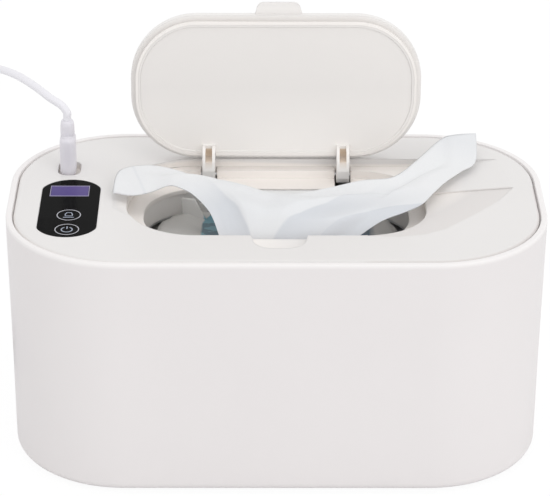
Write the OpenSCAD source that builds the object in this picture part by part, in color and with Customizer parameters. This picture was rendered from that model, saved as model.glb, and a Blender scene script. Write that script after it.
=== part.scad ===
// Baby wipe warmer: a lift-off lid with its heater and controls, a hinged flap
// over the dispensing well, and a plain double-walled case that holds the wipes.
// Millimetres. +X right, +Y to the back, +Z up, origin under the middle of the case.

/* [Case] */
// Width of the case at its rim
case_w = 230; // [222:1:244]
// Depth of the case at its rim
case_d = 132; // [126:1:146]
// Height of the rim above the table
case_h = 110; // [104:1:130]
// Radius of the case's upright corners, seen from above
case_r = 50; // [46:1:56]
// Thickness of the case wall
case_wall = 2.6; // [2.2:0.1:3]
// How far each wall leans in at the foot
case_draft = 1.2; // [0.4:0.1:1.6]
// Radius of the case's bottom edge
case_edge = 4; // [2:0.5:5]
// Width of the ledge inside the case that carries the liner
ledge_w = 4; // [3:0.5:5]
// Thickness of the bottom cover
cover_t = 2.4; // [2.4:0.1:3]
// Diameter of a rubber foot
foot_d = 14; // [10:1:18]
// How far a foot stands out under the bottom cover
foot_proud = 1.2; // [1:0.1:2]
// Distance from the corner centres out to each foot, left to right
foot_out_x = 17; // [8:1:20]
// Distance from the corner centres out to each foot, front to back
foot_out_y = 22; // [18:1:26]

/* [Liner] */
// Thickness of the liner wall
liner_t = 1.6; // [1.2:0.1:2]
// Space between the case's outside and the liner wall
liner_in = 7.5; // [7:0.5:9]
// Height of the liner floor above the bottom cover
liner_lift = 9.4; // [8:0.2:14]

/* [Lid] */
// Gap between the lid and the case rim
lid_gap = 0.6; // [0.5:0.1:1]
// Thickness of the lid's top
lid_t = 2.2; // [2:0.1:2.6]
// Thickness of the lid's skirt
skirt_t = 2; // [1.6:0.1:2.4]
// Depth of the skirt below the lid's top
skirt_h = 17; // [16.8:0.2:20]
// Radius of the lid's top edge
lid_edge = 1.6; // [0.8:0.2:2]
// Thickness of the inner frame that closes the lid from below
frame_t = 2.2; // [2:0.1:2.6]
// Thickness of the lid seal
seal_t = 1.5; // [1.2:0.1:2]
// Width of the lid seal
seal_w = 4; // [3:0.2:4.4]

/* [Well] */
// Distance from each end of the case to the dispensing well
well_end = 50.9; // [49:0.1:54]
// Distance from the front of the case to the well
well_fore = 27.6; // [26:0.1:30]
// Straight stretch of the well's ends between its round corners
well_flat = 12.2; // [10:0.2:16]
// Depth of the well's ledge below the lid's top
well_deep = 7.4; // [7.4:0.1:7.8]
// Width of the well's ledge at each end of the hole
hole_end = 7.2; // [6.5:0.1:9]
// Width of the well's ledge in front of the hole
hole_fore = 6.9; // [6:0.1:8]
// Width of the well's ledge behind the hole
hole_aft = 10.8; // [10.4:0.1:11.5]
// Straight stretch of the hole's ends between its round corners
hole_flat = 4.5; // [2:0.5:8]
// Distance from the back of the case to the back wall of the dish
dish_aft = 27.7; // [27:0.1:29]
// Depth of the dish's floor below the lid's top
dish_deep = 3.6; // [3.4:0.1:3.8]
// Drop from the dish's floor to the slope in front of it
dish_step = 1.6; // [1:0.1:1.8]
// Distance from the right end of the case to the dish's tip
dish_end = 12.3; // [11:0.1:16]
// Width of the step from the dish down into the well, at the back
step_w = 4.5; // [4.2:0.1:4.8]
// Width of the finger notch where it opens into the well
notch_w = 23.8; // [21.5:0.1:26]
// Length of the finger notch
notch_l = 12.2; // [11:0.1:14]
// Radius of the finger notch's round corners
notch_r = 8.5; // [7:0.1:8.9]
// Depth of the finger notch
notch_deep = 1.8; // [1.6:0.1:2.4]
// Sideways place of the finger notch and the flap's tab
notch_x = 1; // [0:0.1:2]

/* [Flap] */
// Thickness of the flap's outer shell
flap_t = 3.6; // [3.4:0.1:3.8]
// Running gap between the flap and the well
flap_gap = 0.7; // [0.5:0.1:0.9]
// Distance from the dish's back wall to the flap's hinge edge
flap_aft = 10.2; // [10.2:0.1:11]
// Width of the flap's margin round its inner panel
flap_margin = 3.1; // [2.8:0.1:4]
// How far the inner panel's seal stands proud of it
seal_lip = 0.6; // [0.4:0.1:0.8]
// How far the flap stands open from its closed position
flap_open = 93; // [90:1:98]
// Width of the tab at its root
tab_w = 20.5; // [18:0.5:21]
// Length of the tab
tab_l = 5.2; // [5:0.2:7]
// Thickness of the tab
tab_t = 1.4; // [1.2:0.1:1.5]

/* [Hinge] */
// Width of each hinge arm
arm_w = 5.6; // [5:0.1:6.2]
// Distance from the middle to each hinge arm
arm_x = 29.5; // [26:0.5:34]
// Side gap between an arm and its slot
arm_gap = 0.7; // [0.5:0.1:0.9]
// Distance of the hinge pins in front of the dish's back wall
pin_fore = 3.1; // [3:0.1:3.3]
// Depth of the hinge pins below the lid's top
pin_deep = 5.9; // [5.8:0.1:6.1]
// Diameter of a hinge pin
pin_d = 1.8; // [1.6:0.1:1.8]
// Length of a hinge pin
pin_l = 13; // [12:0.5:14]

/* [Heater] */
// Distance from each end of the case to the heater plate
heat_end = 27; // [25:0.5:34]
// Distance from the front and back of the case to the heater plate
heat_side = 20; // [19:0.5:22]
// Thickness of the heater plate
heat_t = 1; // [0.8:0.1:1.2]
// Thickness of the heater film
film_t = 0.6; // [0.4:0.1:0.8]
// Thickness of the insulation foam
foam_t = 1.8; // [1.2:0.1:2]

/* [Controls] */
// Distance from the left end of the case to the middle of the control panel
panel_in = 26.6; // [25.5:0.1:28]
// Width of the control panel
panel_w = 24.9; // [24:0.1:26]
// Length of the control panel
panel_l = 56.6; // [54:0.1:58]
// Radius of the control panel's arched ends
panel_r = 13.3; // [13.1:0.1:16]
// Thickness of the control panel
panel_t = 1.2; // [1:0.1:1.4]
// Width of the display window
view_w = 17.6; // [15:0.1:18.5]
// Length of the display window
view_l = 12; // [9:0.1:13]
// Distance of the display window behind the panel's middle
view_aft = 16.1; // [15:0.1:16.5]
// Diameter of a touch key's ring
key_d = 10.7; // [9:0.1:12]
// Thickness of the circuit boards
board_t = 1.4; // [1:0.1:1.6]
// Depth of the control board below the lid's top
board_deep = 9; // [8:0.2:9.6]

/* [Socket] */
// Distance from the left end of the case to the power socket
socket_in = 24; // [23.5:0.1:25.5]
// Distance from the back of the case to the power socket
socket_aft = 37.9; // [36.5:0.1:39]
// Depth of the recess round the socket
recess_deep = 3; // [2:0.2:3.4]
// Length of the socket, from its board to its mouth
socket_l = 7.4; // [6.8:0.1:8]

/* [Cable] */
// Diameter of the cable
cable_d = 3.5; // [3:0.1:4]
// Height of the plug's moulding above the lid
plug_h = 15.6; // [14:0.2:18]
// Height of the cable's strain relief above the moulding
boot_h = 7.6; // [6:0.2:10]
// Turns in each of the coil's two layers
coil_turns = 3; // [2:1:4]
// Radius of the coil's innermost turn
coil_in = 14; // [13:0.5:18]
// Distance from turn to turn in the coil
coil_pitch = 4; // [4:0.1:5]

/* [Wipes] */
// Length of the pack of wipes
pack_w = 186; // [170:1:195]
// Width of the pack of wipes
pack_d = 100; // [90:1:106]
// Height of the pack of wipes
pack_h = 56; // [40:1:58]
// Thickness of a wipe
wipe_t = 0.6; // [0.4:0.1:0.8]

/* [Hidden] */
$fn = 72;
EPS = 0.01;

// Colours, as the photo shows them
white_body = [0.91, 0.90, 0.90];
white_lid = [0.94, 0.94, 0.93];
warm_white = [0.90, 0.89, 0.88];
black_gloss = [0.12, 0.12, 0.13];
steel = [0.75, 0.76, 0.78];
pcb_green = [0.10, 0.38, 0.24];
cable_white = [0.88, 0.88, 0.92];

// Centres of the upright corners, shared by the case, the liner and the lid
corner = [case_w / 2 - case_r, case_d / 2 - case_r];
z_case = foot_proud;                       // underside of the case
z_lid = case_h;                            // top of the lid, level with the rim
slope = case_draft / (z_lid - z_case);     // lean of the wall per millimetre
lid_r = case_r - case_wall - lid_gap;      // the lid's corner radius
z_skirt = z_lid - skirt_h;                 // foot of the skirt, top of the frame
z_frame = z_skirt - frame_t;               // underside of the frame
z_flange = z_frame - seal_t;               // top of the liner's flange
z_ledge = z_flange - liner_t;              // top of the case's ledge
z_floor = z_case + cover_t + liner_lift;   // underside of the liner's floor

// The well, the hole in its ledge and the dish behind it
well_w = case_w - 2 * well_end;
well_front = well_fore - case_d / 2;
dish_back = case_d / 2 - dish_aft;
well_back = dish_back - step_w;
well_r = (well_back - well_front - well_flat) / 2;
hole_w = well_w - 2 * hole_end;
hole_front = well_front + hole_fore;
hole_back = well_back - hole_aft;
hole_r = (hole_back - hole_front - hole_flat) / 2;
z_well = z_lid - well_deep;                // top of the well's ledge
ears_t = 2;                                // thickness of the ledge
z_ears = z_well - ears_t;                  // underside of the ledge

// The flap, drawn shut
flap_w = well_w - 2 * flap_gap;
flap_r = well_r - 1;
flap_front = well_front + flap_gap;
flap_back = dish_back - flap_aft;
flap_l = flap_back - flap_front;
z_pin = z_lid - pin_deep;
y_pin = dish_back - pin_fore;
slot_w = arm_w + 2 * arm_gap;

// The heater, the panel and the socket
heat_w = case_w - 2 * heat_end;
heat_d = case_d - 2 * heat_side;
panel_x = panel_in - case_w / 2;
panel_y = -12.1;                           // middle of the panel, front to back
panel_seat = z_lid - panel_t;              // floor of the panel's recess
z_board = z_lid - board_deep;              // top of the control board
socket_x = socket_in - case_w / 2;
socket_y = case_d / 2 - socket_aft;
z_recess = z_lid - recess_deep;            // floor of the recess round the socket
z_mouth = z_recess - 0.1;                  // mouth of the socket
z_socket = z_mouth - socket_l;             // top of the socket's board
fit = 0.05;                                // clearance of a screw or pin in its hole
seat = 0.3;                                // clearance of parts that don't touch

// Points along an arc, for profiles
function arc(c, r, a0, a1, n = 6) =
    [for (i = [0 : n]) let (a = a0 + (a1 - a0) * i / n) c + r * [cos(a), sin(a)]];

// Outline of a plate with round corners, centred
module plate(w, d, r) {
    square([w - 2 * r, d], center = true);
    square([w, d - 2 * r], center = true);
    for (x = [-1, 1], y = [-1, 1])
        translate([x * (w / 2 - r), y * (d / 2 - r)]) circle(r);
}

// Outline round the shared corners: radius r about each corner centre
module round_plate(r) {
    plate(2 * (corner[0] + r), 2 * (corner[1] + r), r);
}

// Runs a wall's profile round the four shared corners; its x is the radius there
module round_wall() {
    for (q = [0 : 3]) {
        c = q % 2 == 0 ? corner : [corner[1], corner[0]];
        rotate(90 * q) translate([c[0], c[1], 0]) {
            rotate_extrude(angle = 90) children();
            rotate([90, 0, 0]) linear_extrude(2 * c[1]) children();
        }
    }
}

// Outlines of the well and of the hole in its ledge, grown by g
module well_plate(g = 0) {
    translate([0, (well_front + well_back) / 2])
        plate(well_w + 2 * g, well_back - well_front + 2 * g, well_r + g);
}
module hole_plate(g = 0) {
    translate([0, (hole_front + hole_back) / 2])
        plate(hole_w + 2 * g, hole_back - hole_front + 2 * g, hole_r + g);
}

// A rod along Z, used for pins, screws and bosses
module rod(at, d, z0, z1) {
    translate([at[0], at[1], z0]) cylinder(d = d, h = z1 - z0);
}

// A box from its low corner to its high corner
module block(a, b) {
    translate(a) cube(b - a);
}

// ---------------------------------------------------------------- case
foot_at = corner + [foot_out_x, foot_out_y];
foot_places = [for (x = [-1, 1], y = [-1, 1]) [x * foot_at[0], y * foot_at[1]]];
case_screw_in = 22; // distance of each case screw inwards from its foot
case_screw_places = [for (p = foot_places) [p[0] - sign(p[0]) * case_screw_in, p[1]]];
foot_seat = 0.8;   // how deep a foot sits in the bottom cover
boss_d = 8;        // boss of a case screw under the liner
rebate_w = 6;      // band of the case left outside the bottom cover
flange_w = 8;      // width of the flange that the bottom cover seats on
screw_d = 3;
head_d = 5.6;
head_h = 1.5;

module case_profile() {
    foot_r = case_r - case_draft;
    in_r = foot_r - case_wall;
    wall_in = case_r - case_wall - slope * (z_lid - z_ledge);
    z_web = z_case + cover_t;
    rim_r = 0.8;       // round of the rim's outer edge
    rim_bevel = 0.4;   // bevel of its inner edge
    rib = 2;           // height of the ledge's own edge
    polygon(concat(
        arc([foot_r - case_edge, z_case + case_edge], case_edge, -90, 0),
        arc([case_r - rim_r, z_lid - rim_r], rim_r, 0, 90, 4),
        [[case_r - case_wall + rim_bevel, z_lid], [case_r - case_wall, z_lid - rim_bevel],
         [wall_in, z_ledge], [wall_in - ledge_w, z_ledge], [wall_in - ledge_w, z_ledge - rib],
         [wall_in - slope * (rib + ledge_w), z_ledge - rib - ledge_w],
         [in_r, z_web + case_wall],
         [foot_r - rebate_w - flange_w, z_web + case_wall],
         [foot_r - rebate_w - flange_w, z_web],
         [foot_r - rebate_w, z_web], [foot_r - rebate_w, z_case]]));
}

module outer_case() {
    color(white_body) round_wall() case_profile();
}

module case_liner() {
    flange_r = case_r - case_wall - slope * (z_lid - z_ledge) - seat;
    out_r = case_r - liner_in;
    color(white_lid) difference() {
        union() {
            round_wall() polygon([
                [out_r - liner_t, z_floor], [out_r, z_floor], [out_r, z_ledge],
                [flange_r, z_ledge], [flange_r, z_flange], [out_r - liner_t, z_flange]]);
            translate([0, 0, z_floor]) linear_extrude(liner_t) round_plate(out_r - liner_t / 2);
            for (p = case_screw_places) rod(p, boss_d, z_case + cover_t, z_floor + EPS);
        }
        for (p = case_screw_places) rod(p, screw_d + 2 * fit, z_case, z_floor - 0.6);
    }
}

module bottom_cover() {
    color(white_body) difference() {
        translate([0, 0, z_case]) linear_extrude(cover_t)
            round_plate(case_r - case_draft - rebate_w - seat);
        for (p = case_screw_places) {
            rod(p, screw_d + 2 * fit, z_case - 1, z_case + cover_t + 1);
            rod(p, head_d + 0.6, z_case - 1, z_case + head_h);
        }
        for (p = foot_places) rod(p, foot_d + 2 * fit, z_case - 1, z_case + foot_seat);
    }
}

module rubber_feet() {
    color([0.55, 0.55, 0.56]) for (p = foot_places) rod(p, foot_d, 0, z_case + foot_seat);
}

module case_screws() {
    color(steel) for (p = case_screw_places) {
        rod(p, head_d, z_case + 0.1, z_case + head_h);
        rod(p, screw_d, z_case + head_h - EPS, z_floor - 1.2);
    }
}

// ---------------------------------------------------------------- lid
// The dish: a floor behind the well, a ramp to its tip on the right, and slopes
// that rise to the front from a small step along the floor's front edge
dish_r = well_r + step_w;           // round left end, about the well's corner
dish_front = 10.5;                  // front edge of the floor on the right
dish_left_front = 4.2;              // and on the left
dish_mid = well_w / 2 + 2;          // where the ramp begins
dish_tip = [case_w / 2 - dish_end, 9];
boss_r = lid_r - skirt_t - 7;       // distance of the corner screws from the corner centres
mid_screw_x = 38;
lid_screw_places = concat(
    [for (x = [-1, 1], y = [-1, 1]) [x * (corner[0] + boss_r * sqrt(0.5)),
                                      y * (corner[1] + boss_r * sqrt(0.5))]],
    [for (x = [-1, 1], y = [-1, 1]) [x * mid_screw_x, y * (corner[1] + boss_r)]]);
lid_screw_d = 2.6;
skin = 1.8;        // least thickness under the dish, the notch and the socket's recess

module dish_cut() {
    well_corner = [well_r - well_w / 2, well_back - well_r];
    scoop_x = well_corner[0] - dish_r;       // left end of the dish
    translate([0, 0, z_lid - dish_deep]) linear_extrude(dish_deep + 1) {
        translate([well_corner[0], dish_front])
            square([dish_mid - well_corner[0], dish_back - dish_front]);
        intersection() {
            translate(well_corner) circle(dish_r);
            translate([scoop_x - 1, dish_left_front]) square([dish_r + 1, dish_back]);
        }
    }
    wedge([[dish_mid - EPS, dish_back, dish_deep], [dish_mid - EPS, dish_front, dish_deep],
           [dish_tip[0], dish_tip[1], 0], [dish_tip[0] - 4.7, dish_back - 1.3, 0],
           [dish_tip[0] - 4.7, dish_back, 0]]);
    wedge([[dish_mid - 10, dish_front, dish_deep + dish_step], [dish_mid - 29, well_front - 1.8, 0],
           [dish_mid - 16, well_front - 2.4, 0], [dish_mid - 4, well_front, 0],
           [dish_tip[0] - 31.7, -33.2, 0], [dish_tip[0] - 17.8, -18.4, 0],
           [dish_tip[0] - 9.7, -8.9, 0], [dish_tip[0], dish_tip[1], 0.4],
           [dish_mid, dish_front, dish_deep + dish_step]]);
    wedge([[scoop_x + 12, dish_left_front + 1, dish_deep], [scoop_x - 2.5, dish_left_front + 1, 0],
           [scoop_x - 1.5, -12, 0], [scoop_x + 5, -20, 0], [scoop_x + 12, -20, 0]]);
}

// A cutter under the lid's top: its base follows depths below the top, over a
// fan of triangles from the first point, and its upper face lies above the lid
module wedge(pts) {
    n = len(pts);
    low = [for (p = pts) [p[0], p[1], z_lid - p[2]]];
    high = [for (p = pts) [p[0], p[1], z_lid + 2]];
    polyhedron(concat(low, high), concat(
        [for (i = [1 : n - 2]) [0, i, i + 1]],
        [for (i = [1 : n - 2]) [n, n + i + 1, n + i]],
        [for (i = [0 : n - 1]) [i, n + i, n + (i + 1) % n, (i + 1) % n]]));
}

// Outline of the finger notch, open to the well
notch_lean = 0.7;          // how far each of its sides leans in
notch_over = 6;            // how far its outline runs on over the well

module notch_plate(g = 0) {
    side = notch_w / 2 + g;
    end_y = notch_r - notch_l;
    end_x = notch_w / 2 - notch_lean - notch_r;
    translate([notch_x, well_front]) {
        polygon([[-side, notch_over], [-side, 0], [notch_lean - side, end_y],
                 [side - notch_lean, end_y], [side, 0], [side, notch_over]]);
        for (s = [-1, 1]) translate([s * end_x, end_y]) circle(notch_r + g);
        translate([-end_x, -notch_l - g]) square([2 * end_x, notch_r + g]);
    }
}

// Outline of the control panel: straight sides, round corners and arched ends
module panel_plate(g = 0) {
    corner_r = 6;
    end_y = panel_l / 2 - panel_r;
    corner_x = panel_w / 2 - corner_r;
    corner_y = end_y + sqrt(pow(panel_r - corner_r, 2) - pow(corner_x, 2));
    meet_x = 0.995 * corner_x * (panel_r + g) / (panel_r - corner_r);   // where the arcs meet
    translate([panel_x, panel_y]) {
        square([panel_w + 2 * g, 2 * corner_y], center = true);
        for (s = [-1, 1]) {
            for (x = [-corner_x, corner_x]) translate([x, s * corner_y]) circle(corner_r + g);
            intersection() {
                translate([0, s * end_y]) circle(panel_r + g);
                square([2 * meet_x, panel_l + 2 * g + 1], center = true);
            }
        }
    }
}

view_at = [panel_x - 0.4, panel_y + view_aft];    // middle of the display window
key_places = [for (y = [-7.1, -21]) [panel_x + 0.3, panel_y + y]];
board_low = [panel_x - 12.6, panel_y - 25.4];
board_high = [panel_x + 16.9, panel_y + 27.6];
board_posts = concat(
    [for (x = [board_low[0] + 3, board_high[0] - 3.5]) [x, board_high[1] - 2.9]],
    [for (x = [board_low[0] + 3.5, board_high[0] - 3.5]) [x, board_low[1] + 4.5]]);
socket_posts = [for (x = [-6.3, 6.3]) [socket_x + x, socket_y]];
post_d = 4.4;
board_screw_d = 1.8;
recess_size = [9.8, 14.3];
recess_at = [socket_x + 0.5, socket_y];
mouth_size = [3.4, 9.2];

module lid_cover() {
    band = 12;           // width of the top that runs round with the skirt
    ground = dish_deep + dish_step + skin;
    cheek = 1.4;         // wall on each side of an arm's slot
    color(white_lid) difference() {
        union() {
            round_wall() polygon(concat(
                [[lid_r - skirt_t, z_skirt], [lid_r, z_skirt]],
                arc([lid_r - lid_edge, z_lid - lid_edge], lid_edge, 0, 90, 5),
                [[lid_r - band, z_lid], [lid_r - band, z_lid - lid_t],
                 [lid_r - skirt_t - 1, z_lid - lid_t], [lid_r - skirt_t, z_lid - lid_t - 1]]));
            translate([0, 0, z_lid - lid_t]) linear_extrude(lid_t) round_plate(lid_r - band + 1);
            translate([0, 0, z_lid - ground]) linear_extrude(ground - 1) dish_backing();
            translate([0, 0, z_ears]) linear_extrude(well_deep + 1) well_plate(2);
            translate([0, 0, z_lid - notch_deep - skin])
                linear_extrude(notch_deep + skin - 1) notch_plate(2);
            translate([recess_at[0], recess_at[1], z_recess - skin]) linear_extrude(recess_deep + skin - 1)
                plate(recess_size[0] + 4, recess_size[1] + 4, 5);
            for (x = [-arm_x, arm_x], s = [-1, 1])
                block([x + s * (slot_w + cheek * 2) / 2 - cheek, well_back, z_ears],
                      [x + s * (slot_w + cheek * 2) / 2 + cheek, dish_back - seat, z_lid - dish_deep - 1]);
            for (p = lid_screw_places) rod(p, 6, z_skirt, z_lid - 1);
            for (p = board_posts) rod(p, post_d, z_board, z_lid - 1.5);
            for (p = socket_posts) rod(p, post_d, z_socket, z_recess - 0.5);
        }
        dish_cut();
        translate([0, 0, z_well]) linear_extrude(well_deep + 1) well_plate();
        translate([0, 0, z_ears - 1]) linear_extrude(well_deep) hole_plate();
        translate([0, 0, z_lid - notch_deep]) linear_extrude(notch_deep + 1) notch_plate();
        for (x = [-arm_x, arm_x]) {
            block([x - slot_w / 2, hole_back - 1, z_ears - 1],
                  [x + slot_w / 2, dish_back - seat, z_lid - dish_deep + 1]);
            translate([x - pin_l / 2, y_pin, z_pin]) rotate([0, 90, 0])
                cylinder(d = pin_d + 2 * fit, h = pin_l);
        }
        translate([0, 0, panel_seat]) linear_extrude(panel_t + 1) panel_plate(0.15);
        translate([view_at[0], view_at[1], z_lid - 4]) linear_extrude(4)
            square([view_w + 2 * seat, view_l + 2 * seat], center = true);
        for (p = key_places) rod(p, spring_d + 1.2, z_lid - 4, z_lid);
        translate([recess_at[0], recess_at[1], z_recess]) linear_extrude(4)
            plate(recess_size[0], recess_size[1], 4);
        translate([socket_x, socket_y, z_recess - 3]) linear_extrude(4)
            plate(mouth_size[0], mouth_size[1], 1.6);
        for (p = lid_screw_places) rod(p, lid_screw_d + 2 * fit, z_skirt - 1, z_lid - lid_t - 2);
        for (p = board_posts)
            rod(p, board_screw_d + 2 * fit, z_board - 1, z_board + board_screw_l + 0.5);
        for (p = socket_posts)
            rod(p, board_screw_d + 2 * fit, z_socket - 1, z_socket + board_screw_l + 0.3);
    }
}

// Plan of the thicker ground under the dish
module dish_backing() {
    left = -well_w / 2;
    front = well_front - 2.2;
    polygon([[-34, dish_back + 2], [dish_tip[0] - 2.7, dish_back + 2], [dish_tip[0] + 3, dish_tip[1]],
             [dish_tip[0] - 7.7, -12], [dish_tip[0] - 17.2, -21], [dish_tip[0] - 30, -35.5],
             [dish_mid - 2, front], [left + 14, front], [left - 1.9, -24], [left - 6.3, -12],
             [left - 6.9, 3], [left - 2.9, 20], [left + 8.1, dish_back - 5.3]]);
}

// ---------------------------------------------------------------- lid underside
film_w = heat_w - 8;
film_d = heat_d - 8;
film_r = film_d / 2 - 16;
plate_r = film_r + 4;
plate_screw_in = 12;     // distance of the plate's screws from its edges
plate_screw_places = [for (x = [-1, 1], y = [-1, 1])
    [x * (heat_w / 2 - plate_screw_in), y * (heat_d / 2 - plate_screw_in)]];
bead_y = (hole_front - film_d / 2) / 2 - 0.6;
fuse_at = [20, bead_y];
sensor_at = [-20, bead_y];
wire_y = 4.1;            // place of the heater's wires behind the panel's middle
wire_hole = [panel_x + 10.4, panel_y + wire_y];
throat_gap = 0.8;        // gap of the heater and the frame round the throat
throat_wall = 1.6;

// Outline of the heater film: a ring round the throat
module film_ring(g = 0) {
    difference() {
        plate(film_w + 2 * g, film_d + 2 * g, film_r + g);
        hole_plate(4 - g);
        for (p = plate_screw_places) translate(p) circle(d = 8 - 2 * g);
    }
}

// A hole through the frame for a part of size [x, y] about a place
module frame_hole(at, size) {
    translate([at[0], at[1], z_frame]) linear_extrude(frame_t + 1) square(size, center = true);
}

module lid_frame() {
    color(white_lid) difference() {
        union() {
            translate([0, 0, z_frame]) linear_extrude(frame_t) round_plate(lid_r);
            translate([0, 0, z_frame]) linear_extrude(z_ears - seat - z_frame)
                hole_plate(throat_gap + throat_wall);
            for (p = plate_screw_places) rod(p, 6, z_frame, z_skirt + 3.5);
        }
        translate([0, 0, z_frame - 1]) linear_extrude(skirt_h + frame_t) hole_plate(throat_gap);
        translate([0, 0, z_frame - 1]) linear_extrude(1 + film_t) film_ring(0.2);
        for (x = [-arm_x, arm_x])
            block([x - slot_w / 2 - seat, hole_back - 1, z_lid - 15.2],
                  [x + slot_w / 2 + seat, hole_back + 4, z_lid]);
        for (p = lid_screw_places) rod(p, lid_screw_d + 2 * fit, z_frame - 1, z_skirt + 1);
        for (p = plate_screw_places) rod(p, lid_screw_d + 2 * fit, z_frame - 1, z_skirt + 2.6);
        frame_hole(fuse_at, [14, 5.2]);
        frame_hole(sensor_at, [8, 4.4]);
        frame_hole(wire_hole, [4, 6.8]);
    }
}

seal_edge = 1.3;         // distance of the seal from the frame's edge
lid_screw_l = 11;

module lid_seal() {
    seal_in = lid_r - seal_edge - seal_w;
    color([0.80, 0.80, 0.80]) round_wall() translate([seal_in, z_flange]) square([seal_w, seal_t]);
}

module lid_screws() {
    color(steel) for (p = lid_screw_places) {
        rod(p, 5, z_frame - 1.3, z_frame);
        rod(p, lid_screw_d, z_frame - EPS, z_frame + lid_screw_l);
    }
}

module heater_plate() {
    color([0.80, 0.81, 0.83]) difference() {
        translate([0, 0, z_frame - heat_t]) linear_extrude(heat_t) plate(heat_w, heat_d, plate_r);
        translate([0, 0, z_frame - 2]) linear_extrude(3) hole_plate(throat_gap);
        for (p = plate_screw_places) rod(p, lid_screw_d + 2 * fit, z_frame - 2, z_frame + 1);
    }
}

module heater_film() {
    color([0.78, 0.47, 0.16]) translate([0, 0, z_frame]) linear_extrude(film_t) film_ring();
}

module insulation_pad() {
    color([0.35, 0.36, 0.38]) translate([0, 0, z_skirt]) linear_extrude(foam_t) difference() {
        plate(film_w - 2, film_d, film_r);
        hole_plate(throat_gap + throat_wall + 0.6);
        for (p = plate_screw_places) translate(p) circle(d = 6.8);
        translate(fuse_at) square([14.6, 5.8], center = true);
        translate(sensor_at) square([8.6, 5], center = true);
        translate(wire_hole) square([4.6, 7.4], center = true);
        translate([panel_x + 1.4, wire_hole[1]]) square([7, 9], center = true);
    }
}

module plate_screws() {
    color(steel) for (p = plate_screw_places) {
        rod(p, 5, z_frame - heat_t - 1.2, z_frame - heat_t);
        rod(p, lid_screw_d, z_frame - heat_t - EPS, z_skirt + 2.4);
    }
}

// The fuse and the sensor lie on the film, each with its two legs
module leaded_bead(at, d, l) {
    z = z_frame + film_t + d / 2;
    translate([at[0] - l / 2, at[1], z]) rotate([0, 90, 0]) cylinder(d = d, h = l);
    for (s = [-1, 1]) translate([at[0] + s * (l / 2 + 0.6) - 0.6, at[1], z])
        rotate([0, 90, 0]) cylinder(d = 0.8, h = 1.2);
}

module thermal_fuse() {
    color([0.85, 0.83, 0.75]) leaded_bead(fuse_at, 4, 10.5);
}

module temperature_sensor() {
    color([0.15, 0.15, 0.16]) leaded_bead(sensor_at, 3, 5);
}

// ---------------------------------------------------------------- swept tubes
// Unit tangent at point i of a path
function tangent(p, i) =
    let (a = p[max(i - 1, 0)], b = p[min(i + 1, len(p) - 1)]) (b - a) / norm(b - a);

// Side vectors carried along the path without twist
function side_start(t) = let (s = cross(t, abs(t[2]) < 0.9 ? [0, 0, 1] : [0, 1, 0])) s / norm(s);
function sides(p, i = 0, s = undef) =
    i >= len(p) ? [] :
    let (t = tangent(p, i), raw = s == undef ? side_start(t) : s - t * (s * t), u = raw / norm(raw))
    concat([u], sides(p, i + 1, u));

// A closed tube of n sides along path p
module tube(p, d, n) {
    u = sides(p);
    rings = [for (i = [0 : len(p) - 1], k = [0 : n - 1])
        let (w = cross(tangent(p, i), u[i]))
        p[i] + d / 2 * (cos(360 * k / n) * u[i] + sin(360 * k / n) * w)];
    m = len(p);
    polyhedron(rings, concat(
        [[for (k = [0 : n - 1]) k]],
        [for (i = [0 : m - 2], k = [0 : n - 1])
            [i * n + (k + 1) % n, i * n + k, (i + 1) * n + k, (i + 1) * n + (k + 1) % n]],
        [[for (k = [n - 1 : -1 : 0]) (m - 1) * n + k]]));
}

// Smooth path through hand-picked points: m steps to each span
function smooth(p, m) = concat(
    [for (i = [0 : len(p) - 2], j = [0 : m - 1])
        let (a = p[max(i - 1, 0)], b = p[i], c = p[i + 1], e = p[min(i + 2, len(p) - 1)], t = j / m)
        0.5 * (2 * b + (c - a) * t + (2 * a - 5 * b + 4 * c - e) * t * t
               + (3 * b - a - 3 * c + e) * t * t * t)],
    [p[len(p) - 1]]);

function length_of(p) = len(p) < 2 ? 0 :
    [for (i = 0, s = 0; i < len(p); i = i + 1,
          s = s + (i < len(p) ? norm(p[i] - p[i - 1]) : 0)) s][len(p) - 1];

wire_d = 1.4;

module heater_wires() {
    z = z_board - board_t - 3.5;
    color([0.8, 0.2, 0.15]) for (s = [-1.6, 1.6])
        tube([[panel_x + 4.4, wire_hole[1] + s, z], [panel_x + 8.4, wire_hole[1] + s, z - 0.1],
              [wire_hole[0], wire_hole[1] + s, z - 1.1],
              [wire_hole[0], wire_hole[1] + s, z_frame + film_t]], wire_d, 8);
}

// ---------------------------------------------------------------- controls
module control_panel() {
    color(black_gloss) translate([0, 0, panel_seat]) linear_extrude(panel_t) panel_plate();
}

module control_board() {
    color(pcb_green) difference() {
        block([board_low[0], board_low[1], z_board - board_t], [board_high[0], board_high[1], z_board]);
        for (p = board_posts) rod(p, board_screw_d + 2 * fit, z_board - 3, z_board + 1);
    }
}

// Chips, capacitors and connectors, each a separate solid on the board's underside
module board_parts() {
    color([0.16, 0.16, 0.18]) translate([panel_x, panel_y, z_board - board_t]) {
        block([-3.6, -7.9, -1], [3.4, -0.9, 0]);
        block([8.4, -11.9, -1.6], [13.4, -6.9, 0]);
        for (x = [-6.6, 0.4]) rod([x, -13.9], 5, -5.4, 0);
        block([-1.6, 18.1, -4.4], [6.4, 23.1, 0]);
        difference() {
            block([-1.6, wire_y - 4, -6], [4.4, wire_y + 4, 0]);
            block([2.4, wire_y - 3, -4.6], [5.4, wire_y + 3, -2.4]);
        }
    }
}

module display_module() {
    color([0.45, 0.40, 0.70]) translate([view_at[0], view_at[1], z_board])
        linear_extrude(panel_seat - z_board) square([view_w, view_l], center = true);
}

spring_d = 5;
spring_t = 0.5;

module touch_springs() {
    color(steel) for (p = key_places) difference() {
        rod(p, spring_d, z_board, panel_seat);
        rod(p, spring_d - 2 * spring_t, z_board - 1, panel_seat + 1);
    }
}

board_screw_l = 5;      // length of a board screw above its board
board_head = [3.6, 1.1];

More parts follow.
